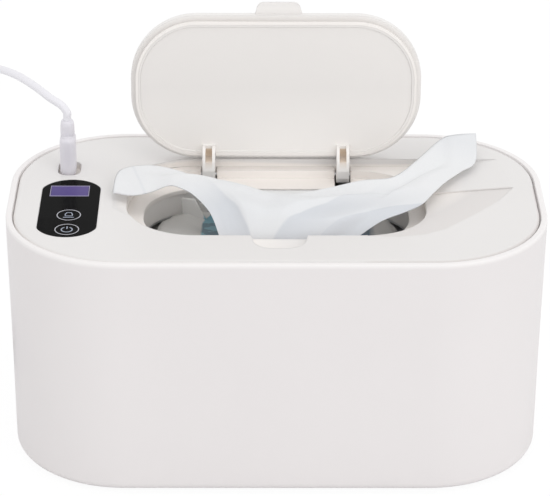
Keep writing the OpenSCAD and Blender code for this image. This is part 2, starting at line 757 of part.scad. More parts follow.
module board_screw(at, z, l) {
    rod(at, board_head[0], z - board_t - board_head[1], z - board_t);
    rod(at, board_screw_d, z - board_t - EPS, z + l);
}

module board_screws() {
    color(steel) {
        for (p = board_posts) board_screw(p, z_board, board_screw_l);
        for (p = socket_posts) board_screw(p, z_socket, board_screw_l - 0.3);
    }
}

// Power socket: a metal shell round a thin tongue, mouth up in the lid's recess
module usb_socket() {
    color(steel) translate([socket_x, socket_y, z_socket]) {
        difference() {
            linear_extrude(socket_l) plate(3.2, 9, 1.5);
            translate([0, 0, 0.6]) linear_extrude(socket_l) plate(2.6, 8.5, 1.25);
        }
        translate([0, 0, 0.3]) linear_extrude(5.2) square([0.7, 6.6], center = true);
    }
}

module socket_board() {
    color(pcb_green) difference() {
        translate([socket_x, socket_y, z_socket - board_t]) linear_extrude(board_t)
            square([17.2, 12.8], center = true);
        for (p = socket_posts) rod(p, board_screw_d + 2 * fit, z_socket - 3, z_socket + 1);
    }
}

module socket_wires() {
    z = z_socket - board_t - wire_d / 2;
    low = z_board - board_t - 2.6;
    color([0.8, 0.2, 0.15]) for (x = [socket_x + 3, socket_x + 6])
        tube([[x, socket_y - 4, z], [x, socket_y - 8, z - 0.4], [x, panel_y + 28.1, low + 0.2],
              [x, panel_y + 25.1, low], [x, panel_y + 23.1, low]], wire_d, 8);
}

// ---------------------------------------------------------------- flap and hinge
// Turns what is drawn shut about the hinge pins, to where the photo shows it
module stand_open() {
    translate([0, y_pin, z_pin]) rotate([-flap_open, 0, 0]) translate([0, -y_pin, -z_pin]) children();
}

module flap_plate(g = 0) {
    translate([0, (flap_front + flap_back) / 2])
        plate(flap_w + 2 * g, flap_l + 2 * g, flap_r + g);
}

module tab_plate() {
    r = 3.4;         // round of the tab's corners
    lean = 0.6;      // how far each side leans in
    over = 4;        // how far the outline runs on under the shell
    side = tab_w / 2;
    tip = side - lean - r;
    translate([notch_x, flap_front]) {
        polygon([[-side, over], [-side, 0], [lean - side, r - tab_l],
                 [side - lean, r - tab_l], [side, 0], [side, over]]);
        for (s = [-1, 1]) translate([s * tip, r - tab_l]) circle(r);
        translate([-tip, -tab_l]) square([2 * tip, r]);
    }
}

z_panel = z_well + seal_lip + seat;          // underside of the flap's inner panel, shut
pocket = 1.6;                                // how deep the inner panel sits in the shell

module flap_cover() {
    color(white_lid) stand_open() difference() {
        union() {
            translate([0, 0, z_lid - flap_t]) linear_extrude(flap_t) flap_plate();
            translate([0, 0, z_lid - tab_t]) linear_extrude(tab_t) tab_plate();
        }
        translate([0, 0, z_lid - flap_t - 1]) linear_extrude(1 + pocket)
            flap_plate(fit - flap_margin);
    }
}

// Side view of a hinge arm, shut: places from the dish's back wall and the lid's top
function arm_side() = [
    [-17.2, -7.0], [-16.7, -9.2], [-14.8, -11.7], [-11.6, -13.6], [-7.6, -14.4],
    [-4.0, -13.9], [-1.6, -12.2], [-0.7, -9.6], [-0.9, -6.6],
    [-5.2, -6.6], [-5.7, -8.8], [-7.4, -10.2], [-9.3, -9.9], [-10.7, -8.6], [-11.2, -7.0]];

module hinge_arm() {
    translate([arm_w / 2, dish_back, z_lid]) rotate([90, 0, -90]) mirror([1, 0, 0])
        linear_extrude(arm_w) polygon(arm_side());
}

// The inner panel with a low bead along its edge, and both arms
module flap_liner() {
    knuckle = 2.15;
    bead_w = 1.1;
    bead_h = 0.4;
    color(warm_white) stand_open() difference() {
        union() {
            translate([0, 0, z_panel]) linear_extrude(z_lid - flap_t + pocket - z_panel)
                flap_plate(-flap_margin);
            translate([0, 0, z_panel - bead_h]) linear_extrude(bead_h + 1) difference() {
                flap_plate(-flap_margin);
                flap_plate(-flap_margin - bead_w);
            }
            for (x = [-arm_x, arm_x]) translate([x, 0, 0]) {
                difference() {
                    hinge_arm();
                    block([-1.4, dish_back - 18, z_lid - 14.5],
                          [1.4, dish_back - 11.6, z_lid - 7.4]);
                }
                translate([-arm_w / 2, y_pin, z_pin]) rotate([0, 90, 0])
                    cylinder(r = knuckle, h = arm_w);
                block([-arm_w / 2, dish_back - 17.2, z_lid - 7.5],
                      [arm_w / 2, dish_back - 11.2, z_panel + 0.5]);
            }
        }
        for (x = [-arm_x, arm_x]) translate([x - arm_w, y_pin, z_pin]) rotate([0, 90, 0])
            cylinder(d = pin_d + 2 * fit, h = 2 * arm_w);
    }
}

// A soft ring round the inner panel, open where the arms leave it
module flap_seal() {
    color([0.85, 0.85, 0.84]) stand_open() difference() {
        translate([0, 0, z_panel - seal_lip]) linear_extrude(seal_lip + 1.2) difference() {
            flap_plate(1 - flap_margin);
            flap_plate(-flap_margin);
        }
        for (x = [-arm_x, arm_x])
            block([x - arm_w / 2 - seat, 0, z_panel - 1], [x + arm_w / 2 + seat, flap_back, z_lid]);
    }
}

module hinge_pins() {
    color(steel) for (x = [-arm_x, arm_x]) translate([x - pin_l / 2, y_pin, z_pin])
        rotate([0, 90, 0]) cylinder(d = pin_d, h = pin_l);
}

// ---------------------------------------------------------------- wipes
pack_z = z_floor + liner_t;      // top of the liner's floor

// A soft pack: crowned top and bottom, flat where it lies, sides drawn in to its ends
module wipe_pack() {
    nu = 20;
    nv = 9;
    ring = [for (j = [0 : nv], i = [0 : nu - 1])
        let (a = 360 * i / nu, b = -90 + 180 * j / nv,
             e = 0.45, c = pow(abs(cos(b)), 0.55),
             x = sign(cos(a)) * pow(abs(cos(a)), e) * c, y = sign(sin(a)) * pow(abs(sin(a)), e) * c,
             z = sign(sin(b)) * pow(abs(sin(b)), 0.8))
        [pack_w / 2 * x, pack_d / 2 * y,
         pack_z + seat + max(0, pack_h * (0.46 + 0.54 * z))]];
    color([0.35, 0.62, 0.72]) hull() polyhedron(ring, concat(
        [[for (i = [0 : nu - 1]) i]],
        [for (j = [0 : nv - 1], i = [0 : nu - 1])
            [j * nu + i, (j + 1) * nu + i, (j + 1) * nu + (i + 1) % nu, j * nu + (i + 1) % nu]],
        [[for (i = [nu - 1 : -1 : 0]) nv * nu + i]]));
}

// The pulled-up wipe: its four edges, as heights above the lid's top
wipe_top = [[-70, -4, 3.5], [-67, 13, 6], [-54, 17, 7], [-44, 16, 6.5], [-35, 11, 5.5],
            [-24, 6, 4.5], [-11, 3, 3], [2, 0, 1.5], [10, -1, 2], [23, 4, 3.5], [37, 5, 5],
            [51, 8, 6], [62, 24, 7], [73, 40, 8.5], [79, 43, 9.5], [89, 47, 8.5]];
wipe_right = [[34, -30, -4], [44, -25, 0], [54, -18, 0.8], [62, -10, 0.8], [68, 3, 0.8],
              [72, 10, 0.9], [76, 21, 1.6], [89, 34, 2.6], [89, 47, 8.5]];
wipe_left = [[-24, -30, -4], [-27, -22, 2], [-33, -10, 4], [-38, -6, 6], [-44, -3.5, 6.5],
             [-53, -5, 4], [-62, -6, 3], [-70, -4, 3.5]];
wipe_low = [[-24, -30, -4], [-12, -30.4, -4.2], [0, -29.6, -4.4], [12, -30.2, -4.4],
            [24, -29.6, -4.2], [34, -30, -4]];
wipe_nu = 30;
wipe_nv = 13;
wipe_drop = 6;      // rows of the part that hangs down into the pack

// Point at share s of a polyline
function along(p, s) =
    let (n = len(p) - 1, i = min(floor(s * n), n - 1), t = s * n - i) p[i] + (p[i + 1] - p[i]) * t;
// A patch between the four edges, with the folds that fan out of the well
function wipe_point(u, v) =
    let (lo = along(wipe_low, u), hi = along(wipe_top, u),
         le = along(wipe_left, v), ri = along(wipe_right, v),
         flat = (1 - v) * lo + v * hi + (1 - u) * le + u * ri
                - ((1 - u) * (1 - v) * wipe_low[0] + u * (1 - v) * wipe_low[5]
                   + (1 - u) * v * wipe_top[0] + u * v * wipe_top[15]),
         fold = 1.6 * sin(360 * 3 * u) * sin(180 * v) + 2.4 * sin(180 * u) * sin(180 * v))
    flat + [0, 0, fold + z_lid];
// The part below the well's edge: gathered towards the pack's slit
function drop_point(u, k) =
    let (t = k / wipe_drop, a = along(wipe_low, u) + [0, 0, z_lid],
         low_z = pack_z + pack_h + seat - 0.7,
         b = [6 + (a[0] - 6) * 0.72, -22 + 3 * sin(360 * 3 * u), low_z])
    [a[0] + (b[0] - a[0]) * t, a[1] + (b[1] - a[1]) * t + 1.6 * sin(360 * 3 * u) * sin(90 * t),
     a[2] + (b[2] - a[2]) * t];

module wipe_sheet() {
    rows = concat([for (k = [wipe_drop : -1 : 1]) [for (i = [0 : wipe_nu]) drop_point(i / wipe_nu, k)]],
                  [for (j = [0 : wipe_nv]) [for (i = [0 : wipe_nu]) wipe_point(i / wipe_nu, j / wipe_nv)]]);
    n = wipe_nu + 1;
    m = len(rows);
    face = [for (j = [0 : m - 1], i = [0 : n - 1])
        let (du = rows[j][min(i + 1, n - 1)] - rows[j][max(i - 1, 0)],
             dv = rows[min(j + 1, m - 1)][i] - rows[max(j - 1, 0)][i], c = cross(du, dv))
        rows[j][i] + wipe_t / 2 * c / norm(c)];
    back = [for (j = [0 : m - 1], i = [0 : n - 1])
        2 * rows[j][i] - face[j * n + i]];
    k = m * n;
    color([0.89, 0.91, 0.93]) polyhedron(concat(face, back), concat(
        [for (j = [0 : m - 2], i = [0 : n - 2]) each [
            [j * n + i, (j + 1) * n + i, (j + 1) * n + i + 1],
            [j * n + i, (j + 1) * n + i + 1, j * n + i + 1],
            [k + j * n + i, k + (j + 1) * n + i + 1, k + (j + 1) * n + i],
            [k + j * n + i, k + j * n + i + 1, k + (j + 1) * n + i + 1]]],
        [for (i = [0 : n - 2]) each [
            [i, i + 1, k + i + 1], [i, k + i + 1, k + i],
            [(m - 1) * n + i + 1, (m - 1) * n + i, k + (m - 1) * n + i],
            [(m - 1) * n + i + 1, k + (m - 1) * n + i, k + (m - 1) * n + i + 1]]],
        [for (j = [0 : m - 2]) each [
            [(j + 1) * n, j * n, k + j * n], [(j + 1) * n, k + j * n, k + (j + 1) * n],
            [j * n + n - 1, (j + 1) * n + n - 1, k + (j + 1) * n + n - 1],
            [j * n + n - 1, k + (j + 1) * n + n - 1, k + j * n + n - 1]]]));
}

// ---------------------------------------------------------------- cable
z_plug = z_lid - 1.5;            // foot of the plug's moulding, in the recess
z_boot = z_lid + plug_h;
z_cord = z_boot + boot_h;
floor_z = cable_d / 2;
coil_start = [-101, 24];         // where the coil begins, from the socket

// Route of the free stretch from the socket: up out of the plug, over the corner, down to the table
cable_route = [
    [0, 0, z_cord], [0, 0, z_cord + 1.8], [0, 0, z_cord + 3.6], [-2.6, 1.6, z_lid + 29.6],
    [-7.6, 5, z_lid + 31.5], [-14, 12, z_lid + 33.5], [-22.5, 21, z_lid + 35],
    [-31.5, 30, z_lid + 34.5], [-41, 38.5, z_lid + 31.5], [-51, 47, z_lid + 24],
    [-59, 53, z_lid + 12], [-65, 57, z_lid - 4], [-69, 59, 80], [-72, 59, 55], [-75, 58, 32],
    [-79, 56, 15], [-85, 52, 5], [-93, 45, floor_z], [-99, 38, floor_z],
    [coil_start[0], coil_start[1] + 8, floor_z], [coil_start[0], coil_start[1] + 4, floor_z],
    [coil_start[0], coil_start[1], floor_z]];
cable_path = smooth([for (p = cable_route) p + [socket_x, socket_y, 0]], 2);

coil_out = coil_in + coil_pitch * coil_turns;
coil_at = [socket_x + coil_start[0] + coil_out, socket_y + coil_start[1] - cable_d];
coil_rings = 24;
layer_gap = 0.5;

// The coil: in along the table, up one layer in the half turn where it turns back, and out
function coil_point(a) =
    let (n = coil_turns * 360, inward = a < n, turn = inward ? a / 360 : (2 * n - a) / 360,
         r = coil_out - coil_pitch * turn,
         climb = min(max((a - n + 90) / 180, 0), 1),
         z = floor_z + (cable_d + layer_gap) * (climb * climb * (3 - 2 * climb)))
    [coil_at[0] + r * cos(180 + a), coil_at[1] + r * sin(180 + a), z];
coil_last = 2 * coil_turns * 360;
coil_drop = 1.65;                       // fall of the tail to the middle of the plug
tail_steps = [[6, 0], [12, 0.35], [18, 0.8], [23, 1], [27, 1]];   // along the tail, share of the fall
coil_path = concat(
    [[coil_at[0] - coil_out, coil_at[1] + cable_d, floor_z]],
    [for (i = [0 : 2 * coil_turns * coil_rings]) coil_point(i * 360 / coil_rings)],
    [for (t = tail_steps) coil_point(coil_last) - [0, t[0], coil_drop * t[1]]]);
coil_gap = min([for (i = [0 : len(coil_path) - 1], j = [i + coil_rings / 2 : 1 : len(coil_path) - 1])
    norm(coil_path[i] - coil_path[j])]) - cable_d;
echo(coil_gap = coil_gap, free_length = length_of(cable_path), coil_length = length_of(coil_path));

plug_r = 3;
tip_size = [2.4, 8.3];
tip_in = 1.2;                           // how far the metal tip sits in the moulding
tip_out = 6.9;                          // how far it stands out below it

module cable_plug() {
    groove = 0.7;                       // slim ring between the moulding and the strain relief
    color(cable_white) {
        translate([socket_x, socket_y, z_plug]) difference() {
            linear_extrude(z_boot - z_plug) plate(6.9, 11.4, plug_r);
            translate([0, 0, -1]) linear_extrude(1 + tip_in)
                plate(tip_size[0] + 2 * fit, tip_size[1] + 2 * fit, tip_size[0] / 2 - fit);
        }
        translate([socket_x, socket_y, z_boot - EPS]) linear_extrude(groove + 0.1) plate(5.6, 8.2, 2.6);
        translate([socket_x, socket_y, z_boot + groove]) linear_extrude(boot_h - groove)
            plate(6.2, 6.8, plug_r);
    }
}

module plug_tip() {
    color(steel) translate([socket_x, socket_y, z_plug - tip_out]) difference() {
        linear_extrude(tip_out + tip_in) plate(tip_size[0], tip_size[1], 1.15);
        translate([0, 0, -1]) linear_extrude(6.8) plate(tip_size[0] - 0.8, tip_size[1] - 0.8, 0.75);
    }
}

module power_cable() {
    color(cable_white) tube(cable_path, cable_d, 8);
}

module cable_coil() {
    color(cable_white) tube(coil_path, cable_d, 6);
}

// A strap round the coil's turns; it squeezes the soft cable a little at the table
module cable_tie() {
    strap_t = 0.4;
    middle = coil_at[0] + (coil_in + coil_out) / 2;
    w = coil_out - coil_in + cable_d + 2;
    h = 2 * cable_d + layer_gap + 2 * strap_t;
    color([0.2, 0.2, 0.21]) difference() {
        block([middle - w / 2 - 0.8, coil_at[1] - 3.5, 0],
              [middle + w / 2 + 0.8, coil_at[1] + 3.5, h + strap_t]);
        block([middle - w / 2, coil_at[1] - 4.5, strap_t], [middle + w / 2, coil_at[1] + 4.5, h]);
    }
}

tail_end = coil_path[len(coil_path) - 1];
plug_size = [15.6, 25, 8.2];
shell_size = [12, 16, 4.5];
shell_in = 4;                           // how far the shell sits in the moulding
relief = 10;                            // length of the plug's strain relief
plug_front = -relief - plug_size[1];

// Places what is drawn along -Y from the tail's end, on the table
module at_tail() {
    translate([tail_end[0], tail_end[1], 0]) children();
}

module usb_plug() {
    low = (plug_size[2] - shell_size[2]) / 2;
    color(cable_white) at_tail() difference() {
        union() {
            block([-plug_size[0] / 2, plug_front, 0], [plug_size[0] / 2, EPS - relief, plug_size[2]]);
            translate([0, 0, plug_size[2] / 2]) rotate([90, 0, 0]) cylinder(d = 5.6, h = relief);
        }
        block([-shell_size[0] / 2 - fit, plug_front - 1, low - fit],
              [shell_size[0] / 2 + fit, plug_front + shell_in, low + shell_size[2] + fit]);
    }
}

module usb_plug_shell() {
    back = plug_front + shell_in;
    low = (plug_size[2] - shell_size[2]) / 2;
    color(steel) at_tail() difference() {
        block([-shell_size[0] / 2, back - shell_size[1], low],
              [shell_size[0] / 2, back, low + shell_size[2]]);
        block([-shell_size[0] / 2 + 0.4, back - shell_size[1] - 1, low + 2.2],
              [shell_size[0] / 2 - 0.4, back - shell_in - 1, low + shell_size[2] - 0.4]);
    }
}

outer_case();
case_liner();
bottom_cover();
rubber_feet();
case_screws();
lid_cover();
lid_frame();
lid_seal();
lid_screws();
heater_plate();
heater_film();
insulation_pad();
plate_screws();
thermal_fuse();
temperature_sensor();
heater_wires();
control_panel();
control_board();
board_parts();
display_module();
touch_springs();
board_screws();
usb_socket();
socket_board();
socket_wires();
hinge_pins();
flap_cover();
flap_liner();
flap_seal();
wipe_pack();
wipe_sheet();
cable_plug();
plug_tip();
power_cable();
cable_coil();
cable_tie();
usb_plug();
usb_plug_shell();
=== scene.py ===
import math

import bpy
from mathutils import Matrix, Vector, noise


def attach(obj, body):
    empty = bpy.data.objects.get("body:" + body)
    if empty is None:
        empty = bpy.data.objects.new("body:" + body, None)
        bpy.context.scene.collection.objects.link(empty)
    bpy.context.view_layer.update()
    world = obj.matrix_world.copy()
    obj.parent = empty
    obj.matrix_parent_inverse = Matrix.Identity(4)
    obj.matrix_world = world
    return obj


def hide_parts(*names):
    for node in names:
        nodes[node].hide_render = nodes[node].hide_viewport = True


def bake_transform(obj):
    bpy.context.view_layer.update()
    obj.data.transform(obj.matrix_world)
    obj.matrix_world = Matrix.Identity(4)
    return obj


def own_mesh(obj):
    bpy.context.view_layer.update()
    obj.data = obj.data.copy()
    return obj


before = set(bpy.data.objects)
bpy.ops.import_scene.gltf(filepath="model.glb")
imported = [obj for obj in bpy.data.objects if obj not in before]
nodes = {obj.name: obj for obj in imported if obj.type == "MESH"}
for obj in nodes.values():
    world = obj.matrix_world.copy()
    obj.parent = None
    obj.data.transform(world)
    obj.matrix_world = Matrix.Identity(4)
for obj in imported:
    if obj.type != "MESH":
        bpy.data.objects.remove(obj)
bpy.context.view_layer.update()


# ---------------------------------------------------------------- camera
# The photograph's view: from the front, 26 degrees up, half a degree to the left
# of square on. Its place comes from the rim, the seams and the foot of the case.
camera = bpy.data.objects.new("camera", bpy.data.cameras.new("camera"))
bpy.context.scene.collection.objects.link(camera)
bpy.context.scene.camera = camera
picture_width = 550            # pixels
focal_length = 2717.6          # in the same pixels
camera.data.sensor_width = 36.0
camera.data.lens = camera.data.sensor_width * focal_length / picture_width
camera.data.clip_end = 20.0
camera.location = (-0.0108, -1.0571, 0.6099)
turn, tilt = math.radians(0.56), math.radians(26.406)
aim = Vector((math.sin(turn) * math.cos(tilt), math.cos(turn) * math.cos(tilt), -math.sin(tilt)))
camera.rotation_mode = "XYZ"
camera.rotation_euler = aim.to_track_quat("-Z", "Y").to_euler()
camera.rotation_euler.rotate_axis("Z", math.radians(0.32))


# ---------------------------------------------------------------- power cable
# A white round lead, 3.5 mm thick and a metre long, moulded into both plugs. It
# arches out of the boot, drops behind the case and lies coiled on the table.
class Sock:
    """A socket of a material's nodes, for sums in plain Python."""

    def __init__(self, tree, out):
        self.tree = tree
        self.out = out

    def node(self, kind, settings=(), inputs=(), output=0):
        """Any node: its type, its settings, and the values or links of its sockets."""
        made = self.tree.nodes.new(kind)
        for name, value in settings:
            setattr(made, name, value)
        for name, value in inputs:
            if isinstance(value, Sock):
                self.tree.links.new(value.out, made.inputs[name])
            else:
                made.inputs[name].default_value = value
        return Sock(self.tree, made.outputs[output])

    def sum(self, operation, a, b=0.0):
        return self.node("ShaderNodeMath", [("operation", operation)], [(0, a), (1, b)])

    def __add__(self, b):
        return self.sum("ADD", self, b)

    def __radd__(self, a):
        return self.sum("ADD", a, self)

    def __sub__(self, b):
        return self.sum("SUBTRACT", self, b)

    def __rsub__(self, a):
        return self.sum("SUBTRACT", a, self)

    def __mul__(self, b):
        return self.sum("MULTIPLY", self, b)

    def __rmul__(self, a):
        return self.sum("MULTIPLY", a, self)

    def __abs__(self):
        return self.sum("ABSOLUTE", self)

    def wave(self, rate):
        """A sine of so many radians to a metre."""
        return self.sum("SINE", self * rate)

    def between(self, low, high):
        """0 below low, 1 above high."""
        return self.node("ShaderNodeMapRange", [("clamp", True)],
                         [("Value", self), ("From Min", low), ("From Max", high)])

    def colour(self, a, b):
        """From colour a at 0 to colour b at 1; each is four numbers or a socket."""
        return self.node("ShaderNodeMix", [("data_type", "RGBA")], [(0, self), (6, a), (7, b)], 2)

    def scaled(self, x, y, z):
        return self.node("ShaderNodeVectorMath", [("operation", "MULTIPLY")], [(0, self), (1, (x, y, z))])

    def noise(self, scale, detail=2.0, rough=0.5):
        return self.node("ShaderNodeTexNoise", [],
                         [("Vector", self), ("Scale", scale), ("Detail", detail), ("Roughness", rough)])

    def part(self, axis):
        return self.node("ShaderNodeSeparateXYZ", [], [(0, self)], axis)


def finish(name, **fixed):
    """A new material and its place on the object; fixed values go on the shader itself."""
    made = bpy.data.materials.new(name)
    made.use_nodes = True
    shader = made.node_tree.nodes["Principled BSDF"]
    for key, value in fixed.items():
        shader.inputs[key.replace("_", " ")].default_value = value
    return made, Sock(made.node_tree, None).node("ShaderNodeTexCoord", output="Object")


def feed(made, **varying):
    shader = made.node_tree.nodes["Principled BSDF"]
    for key, value in varying.items():
        made.node_tree.links.new(value.out, shader.inputs[key.replace("_", " ")])


def shade(colour, share):
    return tuple(min(1.0, c * share) for c in colour[:3]) + (1.0,)


def moulded(name, colour, rough, edge=0.0005, grain=1500.0, depth=0.04, coat=0.0, tints=()):
    """Moulded plastic: a fine grain, slow changes of tone and softly rounded edges.
    tints are further colours, each with the mask of where it shows; in this script they are painted light
    and shade."""
    made, place = finish(name, Coat_Weight=coat, Coat_Roughness=0.12)
    broad = place.noise(11.0, 3.0)
    fine = place.noise(grain, 3.0, 0.6)
    ground = broad.between(0.35, 0.65).colour(shade(colour, 0.985), shade(colour, 1.0))
    for second, mask in tints:
        ground = mask(place).colour(ground, second)
    feed(made, Base_Color=ground,
         Roughness=rough + 0.10 * (broad - 0.5) + 0.06 * (fine - 0.5),
         Normal=place.node("ShaderNodeBump", [],
                           [("Strength", depth), ("Distance", 0.0002), ("Height", fine),
                            ("Normal", place.node("ShaderNodeBevel", [("samples", 6)],
                                                  [("Radius", edge)]))]))
    return made


def piece(name, points, faces, material, smooth=True):
    """A mesh from points in metres; quads stay quads."""
    mesh = bpy.data.meshes.new(name)
    mesh.from_pydata([tuple(p) for p in points], [], faces)
    mesh.validate()
    mesh.materials.append(material)
    mesh.polygons.foreach_set("use_smooth", [smooth] * len(mesh.polygons))
    made = bpy.data.objects.new(name, mesh)
    bpy.context.scene.collection.objects.link(made)
    return made


def loft(rings, caps=True, loop=False):
    """Faces that join rings of points, one ring after the other."""
    n = len(rings[0])
    m = len(rings)
    faces = [(j * n + i, j * n + (i + 1) % n, ((j + 1) % m) * n + (i + 1) % n, ((j + 1) % m) * n + i)
             for j in range(m if loop else m - 1) for i in range(n)]
    if caps:
        faces += [tuple(range(n - 1, -1, -1)), tuple((m - 1) * n + i for i in range(n))]
    return [p for ring in rings for p in ring], faces


def smooth_line(points, steps):
    """A curve through given points, with so many steps to each span."""
    pts = [Vector(p) for p in points]
    line = []
    for i in range(len(pts) - 1):
        a, b, c, e = pts[max(i - 1, 0)], pts[i], pts[i + 1], pts[min(i + 2, len(pts) - 1)]
        for j in range(steps):
            t = j / steps
            line.append(0.5 * (2 * b + (c - a) * t + (2 * a - 5 * b + 4 * c - e) * t * t
                               + (3 * b - a - 3 * c + e) * t * t * t))
    return line + [pts[-1]]


def tube_rings(line, radius, sides):
    """Rings of a round tube along a line, with no twist from one to the next."""
    rings = []
    side = None
    for i, at in enumerate(line):
        ahead = (line[min(i + 1, len(line) - 1)] - line[max(i - 1, 0)]).normalized()
        if side is None:
            side = ahead.cross(Vector((0, 1, 0))).normalized()
        side = (side - ahead * side.dot(ahead)).normalized()
        other = ahead.cross(side)
        rings.append([at + radius * (math.cos(2 * math.pi * k / sides) * side
                                     + math.sin(2 * math.pi * k / sides) * other) for k in range(sides)])
    return rings


cable_finish = moulded("cable_jacket", (0.84, 0.83, 0.87, 1.0), 0.42, edge=0.0002, grain=2600.0, depth=0.06)

socket_x, socket_y = -0.091, 0.0281
socket_at = Vector((socket_x, socket_y, 0.0))
cable_d = 0.0035
route = [(0, 0, 133.2), (0, 0, 135), (0, 0, 136.8), (-2.6, 1.6, 139.6), (-7.6, 5, 141.5),
         (-14, 12, 143.5), (-22.5, 21, 145), (-31.5, 30, 144.5), (-41, 38.5, 141.5), (-51, 47, 134),
         (-59, 53, 122), (-65, 57, 106), (-69, 59, 80), (-72, 59, 55), (-75, 58, 32), (-79, 56, 15),
         (-85, 52, 5), (-93, 45, 1.75), (-99, 38, 1.75), (-101, 32, 1.75), (-101, 28, 1.75),
         (-101, 24, 1.75)]
free_line = smooth_line([socket_at + Vector(p) / 1000 for p in route], 5)

coil_turns = 3
coil_in, coil_out, coil_pitch = 0.014, 0.026, 0.004
coil_at = socket_at + Vector((-0.101 + coil_out, 0.024 - cable_d, 0))


def coil_point(angle):
    """In along the table for three turns, up a layer, and out again for three."""
    last = coil_turns * 360.0
    turns = angle / 360 if angle < last else (2 * last - angle) / 360
    r = coil_out - coil_pitch * turns
    climb = min(max((angle - last + 90) / 180, 0.0), 1.0)
    height = cable_d / 2 + (cable_d + 0.0005) * climb * climb * (3 - 2 * climb)
    a = math.radians(180 + angle)
    return coil_at + Vector((r * math.cos(a), r * math.sin(a), height))


coil_steps = 48                # to each turn
coil_line = [coil_point(360 / coil_steps * i) for i in range(2 * coil_turns * coil_steps + 1)]
tail_drop = 0.00165            # from the coil's end to the far plug's height
tail = smooth_line([coil_line[-1] - Vector((0, ahead, tail_drop * drop)) for ahead, drop in
                    ((0, 0), (0.006, 0), (0.012, 0.35), (0.018, 0.8), (0.023, 1), (0.027, 1))], 4)
cable_line = free_line + coil_line + tail[1:]
cable = piece("power_lead", *loft(tube_rings(cable_line, cable_d / 2, 14)), cable_finish)
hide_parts("power_cable", "cable_coil")
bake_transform(cable)


# ---------------------------------------------------------------- plug in the lid
# The lead's moulded plug stands upright in its recess: a rounded block, a slim
# neck and a short strain relief that the lead comes out of.
def rounded_ring(width, depth, radius, height, corner, centre=(0.0, 0.0)):
    """Rounded rectangle at a height, in millimetres, going round from the right."""
    ring = []
    for q, (sx, sy) in enumerate(((1, -1), (1, 1), (-1, 1), (-1, -1))):
        for i in range(corner + 1):
            a = math.radians(-90 + 90 * q + 90 * i / corner)
            x = centre[0] + sx * (width / 2 - radius) + radius * math.cos(a)
            y = centre[1] + sy * (depth / 2 - radius) + radius * math.sin(a)
            ring.append(Vector((x, y, height)) / 1000)
    return ring


# Width, depth, corner radius and height of each ring
plug_profile = [(5.9, 10.4, 2.6, 108.5), (6.7, 11.2, 2.9, 108.8), (6.9, 11.4, 3.0, 109.4),
                (6.9, 11.4, 3.0, 116.0), (6.9, 11.4, 3.0, 122.5), (6.8, 11.3, 3.0, 124.2),
                (6.4, 10.9, 2.9, 125.2), (5.6, 10.0, 2.6, 125.6), (5.0, 7.4, 2.4, 125.7),
                (4.9, 7.0, 2.3, 126.4), (5.6, 6.2, 2.6, 126.5), (6.1, 6.7, 2.9, 127.0),
                (6.2, 6.8, 3.0, 128.0), (6.0, 6.6, 2.9, 130.6), (5.6, 6.2, 2.7, 132.2),
                (4.8, 5.2, 2.3, 133.0), (3.6, 3.6, 1.75, 133.2)]
plug_finish = moulded("plug_moulding", (0.77, 0.75, 0.80, 1.0), 0.38, edge=0.0003, grain=2200.0, depth=0.04)
plug_at = (1000 * socket_x, 1000 * socket_y)
lid_plug = piece("lead_plug", *loft([rounded_ring(w, d, r, z, 10, plug_at) for w, d, r, z in plug_profile]),
                 plug_finish)
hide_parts("cable_plug")
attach(lid_plug, "lid")


# ---------------------------------------------------------------- far end
# The lead's other plug lies on the table beside the coil, which a strap holds.
def dress(material, *names):
    for name in names:
        for slot in nodes[name].material_slots:
            slot.material = material


dress(plug_finish, "usb_plug")
strap, place = finish("strap_weave", Roughness=0.9, Sheen_Weight=0.3)
threads = 3200.0               # radians to a metre
weave = place.part(1).wave(threads) * place.part(0).wave(threads)
feed(strap, Base_Color=weave.between(-1.0, 1.0).colour((0.012, 0.012, 0.013, 1.0),
                                                       (0.035, 0.035, 0.038, 1.0)),
     Normal=place.node("ShaderNodeBump", [], [("Strength", 0.5), ("Distance", 0.0002), ("Height", weave)]))


def strap_ring(grow, y):
    """One edge of the strap's loop round the coil's right side, seen from the front."""
    width, height = strap_wide + 2 * grow, strap_high + grow
    return [Vector((strap_mid + q.x, y, max(q.y + height / 2000, 0.0)))
            for q in rounded_ring(width, height, strap_corner, 0.0, 7)]


# A woven strap with a rounded edge, one turn round the coil and a sewn end laid over the top
strap_mid = coil_at.x + (coil_in + coil_out) / 2
strap_half = 0.0035
strap_wide, strap_high, strap_corner = (coil_out - coil_in + cable_d + 0.002) * 1000, 8.3, 1.9
strap_section = [(0.0, -1.0), (0.35, -1.0), (0.55, -0.96), (0.55, 0.96), (0.35, 1.0), (0.0, 1.0)]
loops = [strap_ring(grow, coil_at.y + strap_half * edge) for grow, edge in strap_section]
strap_loop = piece("coil_strap", *loft(loops, caps=False, loop=True), strap)
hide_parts("cable_tie")
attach(strap_loop, "case")
end_line = [(-0.0075, 0.0088), (-0.004, 0.0091), (0.002, 0.0091), (0.006, 0.0091), (0.0085, 0.0083)]
end_rings = [[Vector((strap_mid + x, coil_at.y + strap_half * e, z + h)) for e, h in
              ((-0.95, 0.0), (-1.0, 0.0003), (-0.95, 0.0006), (0.95, 0.0006), (1.0, 0.0003), (0.95, 0.0))]
             for x, z in end_line]
strap_end = piece("coil_strap_end", *loft(end_rings), strap)
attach(strap_end, "case")


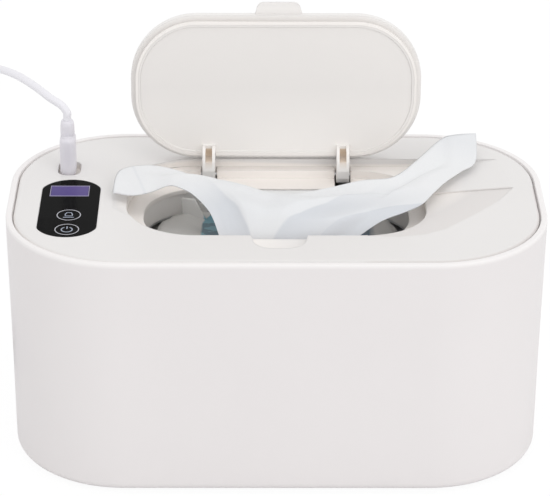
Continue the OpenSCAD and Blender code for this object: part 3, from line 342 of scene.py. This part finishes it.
# ---------------------------------------------------------------- stage
# A plain pale floor and soft light from all round, with one broad lamp low on
# the right front and a small one above; the background behind the floor is white.
def white_floor():
    """Pale and matt for the light, and nearly plain white where the camera sees it."""
    made, place = finish("stage_floor", Roughness=0.9, Base_Color=(0.9, 0.9, 0.9, 1.0))
    tree = made.node_tree
    matt = Sock(tree, tree.nodes["Principled BSDF"].outputs[0])
    glow = place.node("ShaderNodeEmission", [], [("Strength", 1.02)])
    seen = place.node("ShaderNodeLightPath", output="Is Camera Ray")
    both = place.node("ShaderNodeMixShader", [], [(0, seen * 0.92), (1, matt), (2, glow)])
    tree.links.new(both.out, tree.nodes["Material Output"].inputs["Surface"])
    return made


floor = piece("floor", [(-4, -4, 0), (4, -4, 0), (4, 4, 0), (-4, 4, 0)], [(0, 1, 2, 3)], white_floor())

world = bpy.context.scene.world or bpy.data.worlds.new("studio")
bpy.context.scene.world = world
world.use_nodes = True
sky = world.node_tree
seen = Sock(sky, None).node("ShaderNodeLightPath", output="Is Camera Ray")
for ray in ("Is Glossy Ray", "Is Transmission Ray"):
    seen = seen.sum("MAXIMUM", seen, seen.node("ShaderNodeLightPath", output=ray))
sky.nodes["Background"].inputs["Color"].default_value = (1.0, 1.0, 1.0, 1.0)
sky.links.new((0.92 + 0.08 * seen).out, sky.nodes["Background"].inputs["Strength"])


def lamp(name, at, aim, size, watts):
    made = bpy.data.objects.new(name, bpy.data.lights.new(name, "AREA"))
    made.data.size = size
    made.data.energy = watts
    made.location = at
    made.rotation_euler = (Vector(aim) - Vector(at)).to_track_quat("-Z", "Y").to_euler()
    bpy.context.scene.collection.objects.link(made)


lamp("key", (1.1, -1.5, 0.9), (0, 0, 0.06), 1.4, 6.0)
lamp("top", (0.0, -0.2, 1.3), (0, 0, 0.1), 0.5, 1.0)
bpy.context.scene.view_settings.view_transform = "Standard"


# ---------------------------------------------------------------- case
# One deep moulding of white ABS, satin outside, with a soft bottom edge and a
# ledge inside for the liner. The bottom cover, feet and screws close it below.
corner_at = (65.0, 16.0)       # centre of the case's corner rounding
corner_steps = 24


def swept_ring(name, profile, material):
    """Sweeps a closed profile of (distance from the corner centre, height) round the case."""
    rings = []
    for q, (sx, sy) in enumerate(((1, -1), (1, 1), (-1, 1), (-1, -1))):
        for i in range(corner_steps + 1):
            a = math.radians(-90 + 90 * q + 90 * i / corner_steps)
            rings.append([Vector((sx * corner_at[0] + r * math.cos(a),
                                  sy * corner_at[1] + r * math.sin(a), z)) / 1000 for r, z in profile])
    points, faces = loft(rings, caps=False, loop=True)
    made = piece(name, points, faces, material)
    soft = made.modifiers.new("corners", "WEIGHTED_NORMAL")
    soft.keep_sharp = True
    return made


def arc_line(centre, radius, start, stop, steps):
    return [(centre[0] + radius * math.cos(math.radians(start + (stop - start) * i / steps)),
             centre[1] + radius * math.sin(math.radians(start + (stop - start) * i / steps)))
            for i in range(steps + 1)]


# Bottom edge, outer wall, rim, a shallow seam round the lid, inner wall, liner ledge and cover ledge
case_profile = (arc_line((44.8, 5.2), 4.0, -90, 0, 8)
                + [(48.95, 20), (49.1, 45), (49.6, 80), (49.9, 100)]
                + arc_line((49.2, 109.2), 0.8, 0, 90, 5) + arc_line((47.8, 109.6), 0.4, 90, 180, 3)
                + [(47.38, 108.9), (46.95, 108.7), (46.95, 105.5), (47.36, 104), (47.25, 98),
                   (47.15, 87.7), (43.15, 87.7), (43.15, 85.7), (39.1, 81.7),
                   (46.2, 78), (46.2, 6.2), (34.8, 6.2), (34.8, 3.6), (42.8, 3.6), (42.8, 1.2)])
# Painted light: the rim is painted lighter than the rest of the same moulding, where its top catches the
# light.
case_finish = moulded("case_shell_abs", (0.79, 0.760, 0.760, 1.0), 0.36, edge=0.0004,
                      tints=[((0.87, 0.845, 0.84, 1.0),       # the rim
                              lambda place: place.part(2).between(0.1078, 0.1092))])
case_shell = swept_ring("case_shell", case_profile, case_finish)
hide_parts("outer_case")
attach(case_shell, "case")


liner_finish = moulded("liner_pp", (0.96, 0.93, 0.90, 1.0), 0.5)
dress(moulded("cover_abs", (0.85, 0.84, 0.835, 1.0), 0.45), "bottom_cover")
dress(moulded("foot_rubber", (0.27, 0.27, 0.28, 1.0), 0.8, grain=900.0, depth=0.2), "rubber_feet")
dress(liner_finish, "case_liner", "lid_frame")


def metal(name, colour, rough, grain=(900.0, 900.0, 60.0)):
    """Bare metal with a fine drawn grain."""
    made, place = finish(name, Metallic=1.0)
    grains = place.scaled(*grain).noise(1.0, 3.0, 0.6)
    feed(made, Base_Color=grains.colour(shade(colour, 0.9), colour),
         Roughness=rough + 0.12 * (grains - 0.5),
         Normal=place.node("ShaderNodeBump", [],
                           [("Strength", 0.1), ("Distance", 0.0001), ("Height", grains),
                            ("Normal", place.node("ShaderNodeBevel", [("samples", 6)],
                                                  [("Radius", 0.0002)]))]))
    return made


screw_steel = metal("screw_steel", (0.62, 0.63, 0.65, 1.0), 0.35)
dress(screw_steel, "case_screws", "lid_screws", "plate_screws", "board_screws", "hinge_pins")


# ---------------------------------------------------------------- lid
# A white ABS moulding with the well, the dish and the recesses in its top. The
# heater, its foam and its frame are screwed up under it.
def painted_facet_shade(place):
    """Painted shade on the shallow facet in front of the dish's ramp, on the right, which tilts away from
    the light.
    """
    return (place.part(0).between(0.034, 0.040) * place.part(1).between(0.0106, 0.0103)
            * place.part(2).between(0.10995, 0.1098))


def painted_recess_light(place):
    """Painted light: the well and the dish are painted lighter and warmer, as warm light bounced into them
    would make them; on the left also the soft scoop above them.
    """
    scoop = 0.0018 * place.part(0).between(0.02, -0.02)
    return (place.part(2) - scoop).between(0.1080, 0.1064)


# Painted shade darkens the facet in front of the dish's ramp.
# Painted warm light brightens the well, the dish and the scoop.
lid_finish = moulded("lid_abs", (0.79, 0.772, 0.762, 1.0), 0.34, edge=0.0007,
                     tints=[((0.735, 0.705, 0.69, 1.0), painted_facet_shade), ((0.97, 0.925, 0.885, 1.0), painted_recess_light)])
dress(lid_finish, "lid_cover")
dress(moulded("lid_seal_silicone", (0.70, 0.70, 0.69, 1.0), 0.6, grain=900.0, depth=0.1), "lid_seal")
dress(metal("heater_sheet", (0.78, 0.79, 0.80, 1.0), 0.3, (300.0, 3000.0, 300.0)), "heater_plate")
film, place = finish("heater_foil", Coat_Weight=0.6, Coat_Roughness=0.15)
track = place.part(0).wave(420.0).between(-0.2, 0.0)
feed(film, Base_Color=track.colour((0.50, 0.20, 0.03, 1.0), (0.62, 0.32, 0.08, 1.0)),
     Roughness=0.3 + 0.1 * place.noise(200.0),
     Metallic=0.5 * (1 - track))
dress(film, "heater_film")
foam, place = finish("pad_foam", Roughness=0.95)
cells = place.node("ShaderNodeTexVoronoi", [], [("Vector", place), ("Scale", 1500.0)])
feed(foam, Base_Color=cells.colour((0.07, 0.075, 0.08, 1.0), (0.13, 0.135, 0.14, 1.0)),
     Normal=place.node("ShaderNodeBump", [], [("Strength", 0.5), ("Distance", 0.0003), ("Height", cells)]))
dress(foam, "insulation_pad")
dress(moulded("fuse_glaze", (0.68, 0.62, 0.48, 1.0), 0.25, coat=0.5), "thermal_fuse")
dress(moulded("sensor_epoxy", (0.02, 0.02, 0.022, 1.0), 0.4), "temperature_sensor")
dress(moulded("wire_silicone", (0.55, 0.04, 0.03, 1.0), 0.5), "heater_wires", "socket_wires")


# ---------------------------------------------------------------- control panel
# Polished black acrylic set flush in the lid: a lit display window at the back,
# two printed touch rings in front, and the board with its parts underneath.
panel_black, place = finish("panel_acrylic", Specular_IOR_Level=0.02)
smudge = place.noise(90.0, 4.0, 0.6)
feed(panel_black, Base_Color=smudge.colour((0.001, 0.001, 0.001, 1.0), (0.002, 0.002, 0.002, 1.0)),
     Roughness=0.12 + 0.08 * smudge,
     Normal=place.node("ShaderNodeBevel", [("samples", 6)], [("Radius", 0.0003)]))
dress(panel_black, "control_panel")


def printed(name, colour, glow=0.0):
    """Ink on the back of the acrylic, a little uneven."""
    made, place = finish(name, Emission_Strength=glow)
    wear = place.noise(1800.0, 3.0, 0.7)
    ink = wear.colour(shade(colour, 0.86), colour)
    feed(made, Base_Color=ink, Emission_Color=ink, Roughness=0.25 + 0.1 * wear)
    return made


lid_top = 110.0                # millimetres over the table


def inlay(name, outline_faces, material, thick=0.06):
    """A thin printed layer on the panel: flat faces given as (points, faces) in millimetres."""
    points, faces = outline_faces
    n = len(points)
    low = [Vector((x, y, lid_top - 0.02)) / 1000 for x, y in points]
    high = [Vector((x, y, lid_top + thick)) / 1000 for x, y in points]
    edges = [(f[i], f[(i + 1) % len(f)]) for f in faces for i in range(len(f))]
    rim = [(a, b) for a, b in edges if (b, a) not in edges]
    all_faces = [tuple(n + i for i in f) for f in faces] + [tuple(reversed(f)) for f in faces]
    all_faces += [(a, b, n + b, n + a) for a, b in rim]
    made = piece(name, low + high, all_faces, material, smooth=False)
    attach(made, "lid")
    return made


def ribbon(line, width, closed=False):
    """A flat stroke of even width along a line."""
    points = []
    m = len(line)
    for i, (x, y) in enumerate(line):
        bx, by = line[i - 1] if (closed or i) else line[i]
        cx, cy = line[(i + 1) % m] if (closed or i < m - 1) else line[i]
        length = math.hypot(cx - bx, cy - by)
        nx, ny = -(cy - by) / length * width / 2, (cx - bx) / length * width / 2
        points += [(x + nx, y + ny), (x - nx, y - ny)]
    faces = [(2 * i, 2 * i + 1, (2 * i + 3) % (2 * m), (2 * i + 2) % (2 * m))
             for i in range(m if closed else m - 1)]
    return points, faces


def circle_line(x, y, r, start=0, stop=360, steps=64):
    return [(x + r * math.cos(math.radians(start + (stop - start) * i / steps)),
             y + r * math.sin(math.radians(start + (stop - start) * i / steps)))
            for i in range(steps if stop - start == 360 else steps + 1)]


ring_ink = printed("key_ring_ink", (0.50, 0.50, 0.55, 1.0))
cool_ink = printed("key_lamp_ink", (0.34, 0.38, 0.47, 1.0))
key_x, heat_y, power_y = -88.1, -19.2, -33.1
key_ring_r, key_ring_wide, mark_r, stroke = 4.95, 0.38, 2.3, 0.5
for name, key_y in (("key_ring_heat", heat_y), ("key_ring_power", power_y)):
    inlay(name, ribbon(circle_line(key_x, key_y, key_ring_r), key_ring_wide, True), ring_ink)
mark = [(-1.5, 0.8), (-0.9, 2.3), (0.9, 2.3), (1.5, 0.8), (1.5, -0.9), (-1.5, -0.9)]
inlay("key_mark_heat", ribbon([(key_x + x, heat_y + y) for x, y in mark], stroke, True), cool_ink)
mark_base = [(key_x - mark_r, heat_y - mark_r), (key_x + mark_r, heat_y - mark_r)]
inlay("key_base_heat", ribbon(mark_base, stroke), cool_ink)
inlay("key_arc_power", ribbon(circle_line(key_x, power_y - 0.2, mark_r, 118, 422, 30), stroke), cool_ink)
inlay("key_bar_power", ribbon([(key_x, power_y + 0.5), (key_x, power_y + 2.8)], stroke), cool_ink)

frame_ink = printed("display_frame_ink", (0.30, 0.27, 0.42, 1.0), 0.1)
lit, place = finish("display_light", Emission_Strength=0.05, Specular_IOR_Level=0.05)
across = place.part(0).between(-0.0975, -0.0800)
back = place.part(1).between(-0.0020, 0.0098)
tone = (across * 0.55 + back * 0.45 + 0.12 * (place.noise(160.0) - 0.5)).colour(
    (0.075, 0.055, 0.20, 1.0), (0.115, 0.085, 0.25, 1.0))
feed(lit, Base_Color=tone, Emission_Color=tone, Roughness=0.18 + 0.06 * place.noise(90.0))
display_x, display_y = (-97.3, -80.8), (-0.4, 9.6)     # left and right, front and back


def display_corners(inset):
    """The corners of the window's outline, or of one that lies inside it by so many millimetres."""
    left, right = display_x[0] + inset, display_x[1] - inset
    front, rear = display_y[0] + inset, display_y[1] - inset
    return [(left, front), (right, front), (right, rear), (left, rear)]


inlay("display_frame", ribbon(display_corners(0.0), 0.6, True), frame_ink)
inlay("display_window", (display_corners(0.3), [(0, 1, 2, 3)]), lit, thick=0.03)
dress(lit, "display_module")

board, place = finish("solder_mask", Coat_Weight=0.4, Coat_Roughness=0.2)
traces = (place.scaled(1.0, 0.15, 1.0).noise(420.0, 2.0)).between(0.5, 0.56)
feed(board, Base_Color=traces.colour((0.008, 0.10, 0.045, 1.0), (0.015, 0.16, 0.07, 1.0)),
     Roughness=0.35 + 0.1 * traces)
dress(board, "control_board", "socket_board")
dress(moulded("chip_epoxy", (0.022, 0.022, 0.024, 1.0), 0.45, grain=2600.0), "board_parts")
dress(metal("spring_tin", (0.66, 0.66, 0.66, 1.0), 0.28), "touch_springs")
dress(metal("socket_nickel", (0.66, 0.66, 0.66, 1.0), 0.22), "usb_socket", "plug_tip", "usb_plug_shell")


# ---------------------------------------------------------------- flap
# The flap stands open on two curved arms: a white outer shell, and a raised
# inner panel with its soft seal, which faces the front.
flap_finish = moulded("flap_abs", (0.85, 0.828, 0.810, 1.0), 0.34, edge=0.0005)
arm_at, arm_channel = 0.0295, 0.0015      # middle of each arm, half the width of its channel


def painted_channel_shade(place):
    """Painted shade, warm tan, in the channel in the upper part of each arm."""
    beside_middle = abs(abs(place.part(0)) - arm_at).between(arm_channel + 0.0001, arm_channel - 0.0001)
    return beside_middle * place.part(2).between(0.1171, 0.1165) * place.part(2).between(0.1100, 0.1150)


# Painted light: the inner panel is painted lighter towards its bottom, where the lid and the wipe shade it.
# Painted shade tints the arms' channels tan.
inner_finish = moulded("flap_inner_abs", (0.82, 0.793, 0.772, 1.0), 0.34, edge=0.0004,
                       tints=[((0.92, 0.888, 0.86, 1.0), lambda place: place.part(2).between(0.145, 0.118)),
                              ((0.74, 0.62, 0.50, 1.0), painted_channel_shade)])
dress(flap_finish, "flap_cover")
dress(inner_finish, "flap_liner")
dress(moulded("flap_seal_silicone", (0.92, 0.885, 0.855, 1.0), 0.5, edge=0.00005, depth=0.0), "flap_seal")


# ---------------------------------------------------------------- pack of wipes
# A soft foil pouch on the liner's floor. Its film is drawn up round the slit where
# the wipe comes out, and carries a plain print of teal and blue about the slit.
def signed_power(value, power):
    return math.copysign(abs(value) ** power, value)


def ramp(share):
    """0 up to 0 and 1 from 1 on, with a soft start and end."""
    share = min(max(share, 0.0), 1.0)
    return share * share * (3 - 2 * share)


# In millimetres: the stack of wipes with its rounded sides, the slit, and the middles of the
# corner roundings of the throat above it
pack_low, pack_high, half_long, half_wide = 14.9, 70.9, 93, 50
slit_at, slit_size, slit_high = (4.0, -20.0), (25.0, 4.5), 90.0
throat_x, throat_front, throat_back = 31.9, -6.5, -2
side_ends = 0.3                # where the sides end and the top begins, on the way from -1 to 1


def pouch_point(a, b):
    """Round the pouch by a; b runs from -1 under its middle, over its side, to 1 at the slit."""
    across, along_side = signed_power(math.cos(a), 0.45), signed_power(math.sin(a), 0.45)
    if b <= side_ends:
        tilt = math.radians(-90 + 90 * (b + 1) / (1 + side_ends) * 1.35)
        spread = abs(math.cos(tilt)) ** 0.5
        height = pack_low + (pack_high - pack_low) * (0.46 + 0.52 * signed_power(math.sin(tilt), 0.8))
        return Vector((half_long * across * spread, half_wide * along_side * spread, max(height, pack_low)))
    side = pouch_point(a, side_ends)
    share = (b - side_ends) / (1 - side_ends)
    mouth = Vector((slit_at[0] + slit_size[0] * math.cos(a), slit_at[1] + slit_size[1] * math.sin(a), 0))
    at = side.lerp(mouth, share)
    crown = 17.6 * math.exp(-(at.x / 86) ** 8 - (at.y / 44) ** 8)
    # Inside the throat the film stands higher, and less so towards the slit
    from_middle = math.hypot(max(abs(at.x) - throat_x, 0), max(at.y - throat_back, throat_front - at.y, 0))
    drawn_up = 7.5 * ramp((23.5 - from_middle) / 3.5) * (0.35 + 0.65 * ramp((at.y + 20) / 9))
    stack_top = pack_high - 1.2
    at.z = side.z + (stack_top - side.z) * min(1.0, share * 4) + (crown + drawn_up) * min(1.0, share * 5)
    return at


pouch_rings = []
pouch_steps, pouch_round = 96, 160
for j in range(pouch_steps + 1):
    ring = []
    for i in range(pouch_round):
        at = pouch_point(2 * math.pi * i / pouch_round, -1 + 2 * j / pouch_steps)
        crinkle = (noise.noise(at / 17) + 0.6 * abs(noise.noise(at / 8 + Vector((7, 3, 1))))
                   + 0.3 * noise.noise(at / 4))
        if at.z > pack_low + 3:
            # Less crinkled close below the heater than in the throat and on the sides
            has_room = at.z < 80 or abs(at.x) < 40 and -22 < at.y < 16
            at.z += (1.3 if has_room else 0.5) * crinkle - 0.8
            at.x *= 1 - 0.006 * abs(crinkle)
            at.y *= 1 - 0.010 * abs(crinkle)
        ring.append(at / 1000)
    pouch_rings.append(ring)
slit_lip = 0.004
pouch_rings.append([p - Vector((0, 0, slit_lip)) for p in pouch_rings[-1]])


def grid(rows):
    """Points and faces of a sheet that is given as rows of points."""
    n = len(rows[0])
    faces = [(j * n + i, j * n + i + 1, (j + 1) * n + i + 1, (j + 1) * n + i)
             for j in range(len(rows) - 1) for i in range(n - 1)]
    return [p for row in rows for p in row], faces


def printed_film(name, left_edge, waver):
    """Silver film with a plain print between its left edge and x 44 mm; the edges waver."""
    made, place = finish(name, Coat_Weight=0.5, Coat_Roughness=0.2)
    left = (place.part(0) + waver * (place.noise(45.0, 2.0) - 0.5)).between(left_edge, left_edge + 0.001)
    right = (place.part(0) + 0.012 * (place.noise(30.0, 2.0) - 0.5)).between(0.044, 0.041)
    leaf = place.scaled(1.0, 2.2, 1.0).noise(75.0, 3.0).between(0.50, 0.53)
    wash = (place.part(0) + 0.01 * place.noise(60.0)).between(0.0, 0.03)
    field = wash.colour((0.14, 0.36, 0.45, 1.0), (0.05, 0.13, 0.26, 1.0))
    print_tone = (0.75 * leaf).colour(field, (0.03, 0.11, 0.16, 1.0))
    feed(made, Base_Color=(left * right).colour((0.66, 0.65, 0.63, 1.0), print_tone),
         Roughness=0.3 + 0.15 * place.noise(50.0),
         Normal=place.node("ShaderNodeBump", [], [("Strength", 0.35), ("Distance", 0.001),
                                                  ("Height", place.noise(110.0, 4.0, 0.6))]))
    return made


pouch_shell = piece("wipe_pouch", *loft(pouch_rings, caps=False), printed_film("pouch_film", -0.030, 0.014))
film_thick = pouch_shell.modifiers.new("film", "SOLIDIFY")
film_thick.thickness = 0.0003
film_thick.offset = -1.0
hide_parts("wipe_pack")
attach(pouch_shell, "case")

# A strip of the pouch's film that stands up behind the wipe, bent a little
label_rows = []
label_steps, label_columns = 12, 20
for j in range(label_steps + 1):
    t = j / label_steps
    foot = Vector((-40 + 15 * t, 9 - 11 * t, 85 + 4 * t))
    head = Vector((-41.5 + 6 * t, 19.5 - 1.5 * t, 100))
    row = []
    for i in range(label_columns + 1):
        up = i / label_columns
        bend = 1.2 * math.sin(math.pi * up) * math.sin(2.2 * t + 0.5)
        row.append((foot.lerp(head, up) + Vector((0, bend, 0))) / 1000)
    label_rows.append(row)
label = piece("pouch_label", *grid(label_rows), printed_film("label_film", -0.0318, 0.002))
label_thick = label.modifiers.new("film", "SOLIDIFY")
label_thick.thickness = 0.0003
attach(label, "case")


# ---------------------------------------------------------------- pulled-up wipe
# A damp non-woven sheet, 150 by 180 mm. It lies folded in the pouch, is gathered
# through the slit, and spreads over the well's edge in two wings with soft folds.
cloth, place = finish("wipe_nonwoven", Roughness=0.9, Sheen_Weight=0.1, Specular_IOR_Level=0.2)
fibre = place.scaled(1.0, 0.45, 1.0).noise(1600.0, 5.0, 0.7)
dots = place.node("ShaderNodeTexVoronoi", [], [("Vector", place), ("Scale", 700.0)])
damp = place.noise(28.0, 3.0)
cloth_colour = (0.5 * fibre + 0.5 * damp).between(0.3, 0.7).colour((0.79, 0.797, 0.81, 1.0),
                                                                     (0.83, 0.835, 0.842, 1.0))
cloth_shade_colour = (0.66, 0.68, 0.715, 1.0)


def beside(place, start, end):
    """Distance to the left of a line from start to end, seen from above, in millimetres."""
    run_x, run_y = end[0] - start[0], end[1] - start[1]
    length = math.hypot(run_x, run_y)
    return ((place.part(1) * 1000.0 - start[1]) * (run_x / length)
            - (place.part(0) * 1000.0 - start[0]) * (run_y / length))


# Painted shade: the cloth is painted greyer beside each main fold, low down towards the gather, along the
# left wing's crease and in the right wing's far corner, where it lies in shade; elsewhere it keeps its own
# colour
shade_low_down = place.part(1).between(0.004, -0.020)
shade_far_corner = place.part(0).between(0.062, 0.074) * place.part(1).between(0.026, 0.040)
left_fold = beside(place, (-9, -37), (-28, -1)) + 3.0 * (damp - 0.5)
long_fold = beside(place, (-5, -37), (30, -9)) + 3.0 * (damp - 0.5)
right_fold = beside(place, (14, -36), (58, -12)) + 3.0 * (damp - 0.5)
crease = abs(beside(place, (-56, -6), (-62.5, 17)))
painted_cloth_shade = (shade_low_down * left_fold.between(-0.4, 0.5) * left_fold.between(22.0, 0.0)
          + 0.8 * shade_low_down * long_fold.between(0.5, -0.4) * long_fold.between(-26.0, 0.0)
          + 0.9 * right_fold.between(0.5, -0.4) + 0.35 * crease.between(1.0, 0.0)
          + 0.25 * shade_low_down + 0.35 * shade_far_corner).between(0.0, 1.0)
# The cloth's own colour, with painted shade mixed in greyer where the masks above say
feed(cloth, Base_Color=painted_cloth_shade.colour(cloth_colour, cloth_shade_colour),
     Normal=place.node("ShaderNodeBump", [], [("Strength", 0.15), ("Distance", 0.0002),
                                              ("Height", fibre + 0.5 * dots)]))

# The outline of the spread wings in four lines, in millimetres, with the height over the lid's top
wipe_top = [(-69, -5, 3.2), (-67, 12, 5.4), (-56, 16, 6.4), (-45, 14, 5.8), (-35, 9, 4.6), (-24, 4, 3.0),
            (-11, 2, 1.4), (2, 0, 0.5), (10, 0, 0.7), (23, 3, 2.0), (37, 5, 4.6), (51, 7.5, 5.4),
            (62, 23, 6.4), (73, 40, 8.5), (79, 43, 9.5), (89, 47, 8.5)]
wipe_right = [(34, -31, -4.5), (44, -25, 0), (54, -18, 0.8), (62, -10, 0.8), (68, 2, 0.8), (74, 13, 0.9),
              (81, 22.5, 1.2), (88, 31.5, 2.0), (89, 47, 8.5)]
wipe_left = [(-24, -31, -5), (-28, -22, 2), (-34.5, -10, 4.2), (-40, -6, 6), (-46, -3.5, 6.5),
             (-54, -5, 4), (-62, -6, 3), (-70, -4, 3.5)]
wipe_low = [(-24, -31, -5), (-12, -34, -6.6), (0, -34.6, -6.8), (12, -34.6, -6.8), (24, -33, -6),
            (34, -31, -4.5)]

# Each soft fold: its line seen from above, its height, and how far it reaches to its left and right
folds = [([(-9, -37), (-13, -27), (-20, -12), (-28, -1)], 4.6, 2.0, 12.0),
         ([(-5, -37), (6, -22), (20, -13), (38, -7), (60, 2), (76, 22)], 3.4, 15.0, 2.6),
         ([(14, -36), (30, -27), (44, -20), (58, -12)], 2.6, 8.0, 1.8),
         ([(-67, 16), (-63, 5), (-58, -2), (-52, -5)], 2.4, 8.0, 1.0),
         ([(-7, -37), (-5, -24), (-2, -12), (2, -4)], -1.6, 6.0, 6.0)]


def fold_height(x, y):
    """The sum of the folds at a place, each fading out along its line."""
    total = 0.0
    rounding = 0.4             # of each fold's ridge
    for line, height, reach_left, reach_right in folds:
        best = None
        for k in range(len(line) - 1):
            (ax, ay), (bx, by) = line[k], line[k + 1]
            dx, dy = bx - ax, by - ay
            share = min(max(((x - ax) * dx + (y - ay) * dy) / (dx * dx + dy * dy), 0.0), 1.0)
            ox, oy = x - ax - share * dx, y - ay - share * dy
            if best is None or math.hypot(ox, oy) < best[0]:
                best = (math.hypot(ox, oy), dx * oy - dy * ox, (k + share) / (len(line) - 1))
        distance, side, run = best
        reach = reach_left if side > 0 else reach_right
        total += height * (1 - run ** 2) * math.exp(rounding - math.hypot(rounding, distance / reach))
    return total


def along(line, s):
    """The place at a share s of a line's points."""
    n = len(line) - 1
    i = min(int(s * n), n - 1)
    return line[i].lerp(line[i + 1], s * n - i)


def edge_line(points):
    """A smooth line through points that are given with their height over the lid's top."""
    return smooth_line([Vector(p) + Vector((0, 0, lid_top)) for p in points], 6)


top_edge, right_edge = edge_line(wipe_top), edge_line(wipe_right)
left_edge, low_edge = edge_line(wipe_left), edge_line(wipe_low)
wipe_columns = 180
packed_rows, drop_rows, spread_rows, hem_rows = 45, 22, 70, 10
gathered, pleats, pleat_deep = 42, 9, 2.7      # the width in the slit, and its pleats
throat_lip = (-30.6, 103.1)                    # y and z of the edge over which the wipe comes up
wall_y, hem_foot = 21.8, 102.2                 # where the turned hem lies against the back wall
folded_wide, folded_long = 120, 50             # the layers in the pouch
packed_drop, packed_z = 150, 66.0              # how steeply the wipe falls to them, and their top


def spread_row(v):
    """One row of the spread wings: 0 at the well's front edge, 1 at the sheet's top edge."""
    row = []
    for i in range(wipe_columns + 1):
        u = i / wipe_columns
        lo, hi = along(low_edge, u), along(top_edge, u)
        le, ri = along(left_edge, v), along(right_edge, v)
        flat = ((1 - v) * lo + v * hi + (1 - u) * le + u * ri
                - ((1 - u) * (1 - v) * low_edge[0] + u * (1 - v) * low_edge[-1]
                   + (1 - u) * v * top_edge[0] + u * v * top_edge[-1]))
        inside = min(1.0, 0.3 + 5 * v) * min(1.0, 5 * (1 - v)) * min(1.0, 12 * u) * min(1.0, 12 * (1 - u))
        belly = 2.4 * math.sin(math.pi * u) * math.sin(math.pi * v ** 0.8)
        drape = 0.5 * noise.noise(Vector((flat.x / 14, flat.y / 14, 3)))
        row.append(flat + Vector((0, 0, belly + (fold_height(flat.x, flat.y) + drape) * inside)))
    return row


def hem_row(t):
    """One row of the hem, which in the middle is turned back and down against the throat's back wall."""
    row = []
    for i in range(wipe_columns + 1):
        u = i / wipe_columns
        edge = along(top_edge, u)
        turned = math.exp(-((u - 0.5) / 0.17) ** 4)
        back, down = turned * (wall_y - edge.y), turned * (edge.z - hem_foot)
        row.append(edge + Vector((0, t * (0.4 + back), -t * (0.2 + down))))
    return row


def drop_row(t):
    """One row of the part that hangs from the well's edge, 0, to the slit, 1, ever more pleated."""
    at_lip = 0.3
    row = []
    for i in range(wipe_columns + 1):
        u = i / wipe_columns
        edge = along(low_edge, u)
        lip = Vector((edge.x, *throat_lip))
        slit = Vector((slit_at[0] + gathered * (u - 0.5), slit_at[1], slit_high))
        at = edge.lerp(lip, t / at_lip) if t < at_lip else lip.lerp(slit, (t - at_lip) / (1 - at_lip))
        inside = max(0.0, 1 - t / at_lip) * min(1.0, 12 * u) * min(1.0, 12 * (1 - u))
        at.z += 0.3 * fold_height(edge.x, edge.y) * inside
        at.y += (pleat_deep * t * math.sin(2 * math.pi * pleats * u)
                 + 1.2 * math.sin(math.pi * t) * math.sin(9 * u))
        row.append(at)
    return row


def packed_row(t):
    """One row of the part still folded in the pouch: spread out below the slit, then back under itself."""
    row = []
    for i in range(wipe_columns + 1):
        u = i / wipe_columns
        loose = min(1.0, t * 4)
        wide = gathered + (folded_wide - gathered) * loose
        layer = min(int(t * 3), 2)
        share = t * 3 - layer
        y = slit_at[1] + folded_long * (share if layer != 1 else 1 - share)
        z = max(slit_high - packed_drop * t, packed_z) - 1.2 * layer - 0.6 * share
        pleat = pleat_deep * (1 - loose) * math.sin(2 * math.pi * pleats * u)
        row.append(Vector((slit_at[0] + wide * (u - 0.5), y + pleat, z)))
    return row


rows = ([packed_row(1 - j / packed_rows) for j in range(packed_rows)]
        + [drop_row(1 - j / drop_rows) for j in range(drop_rows)]
        + [spread_row(j / spread_rows) for j in range(spread_rows + 1)]
        + [hem_row(j / hem_rows) for j in range(1, hem_rows + 1)])
wipe = piece("pulled_wipe", *grid([[p / 1000 for p in row] for row in rows]), cloth)
cloth_thick = wipe.modifiers.new("thickness", "SOLIDIFY")
cloth_thick.thickness = 0.0005
cloth_thick.offset = 0.0
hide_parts("wipe_sheet")
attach(wipe, "lid")
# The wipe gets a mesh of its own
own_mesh(wipe)
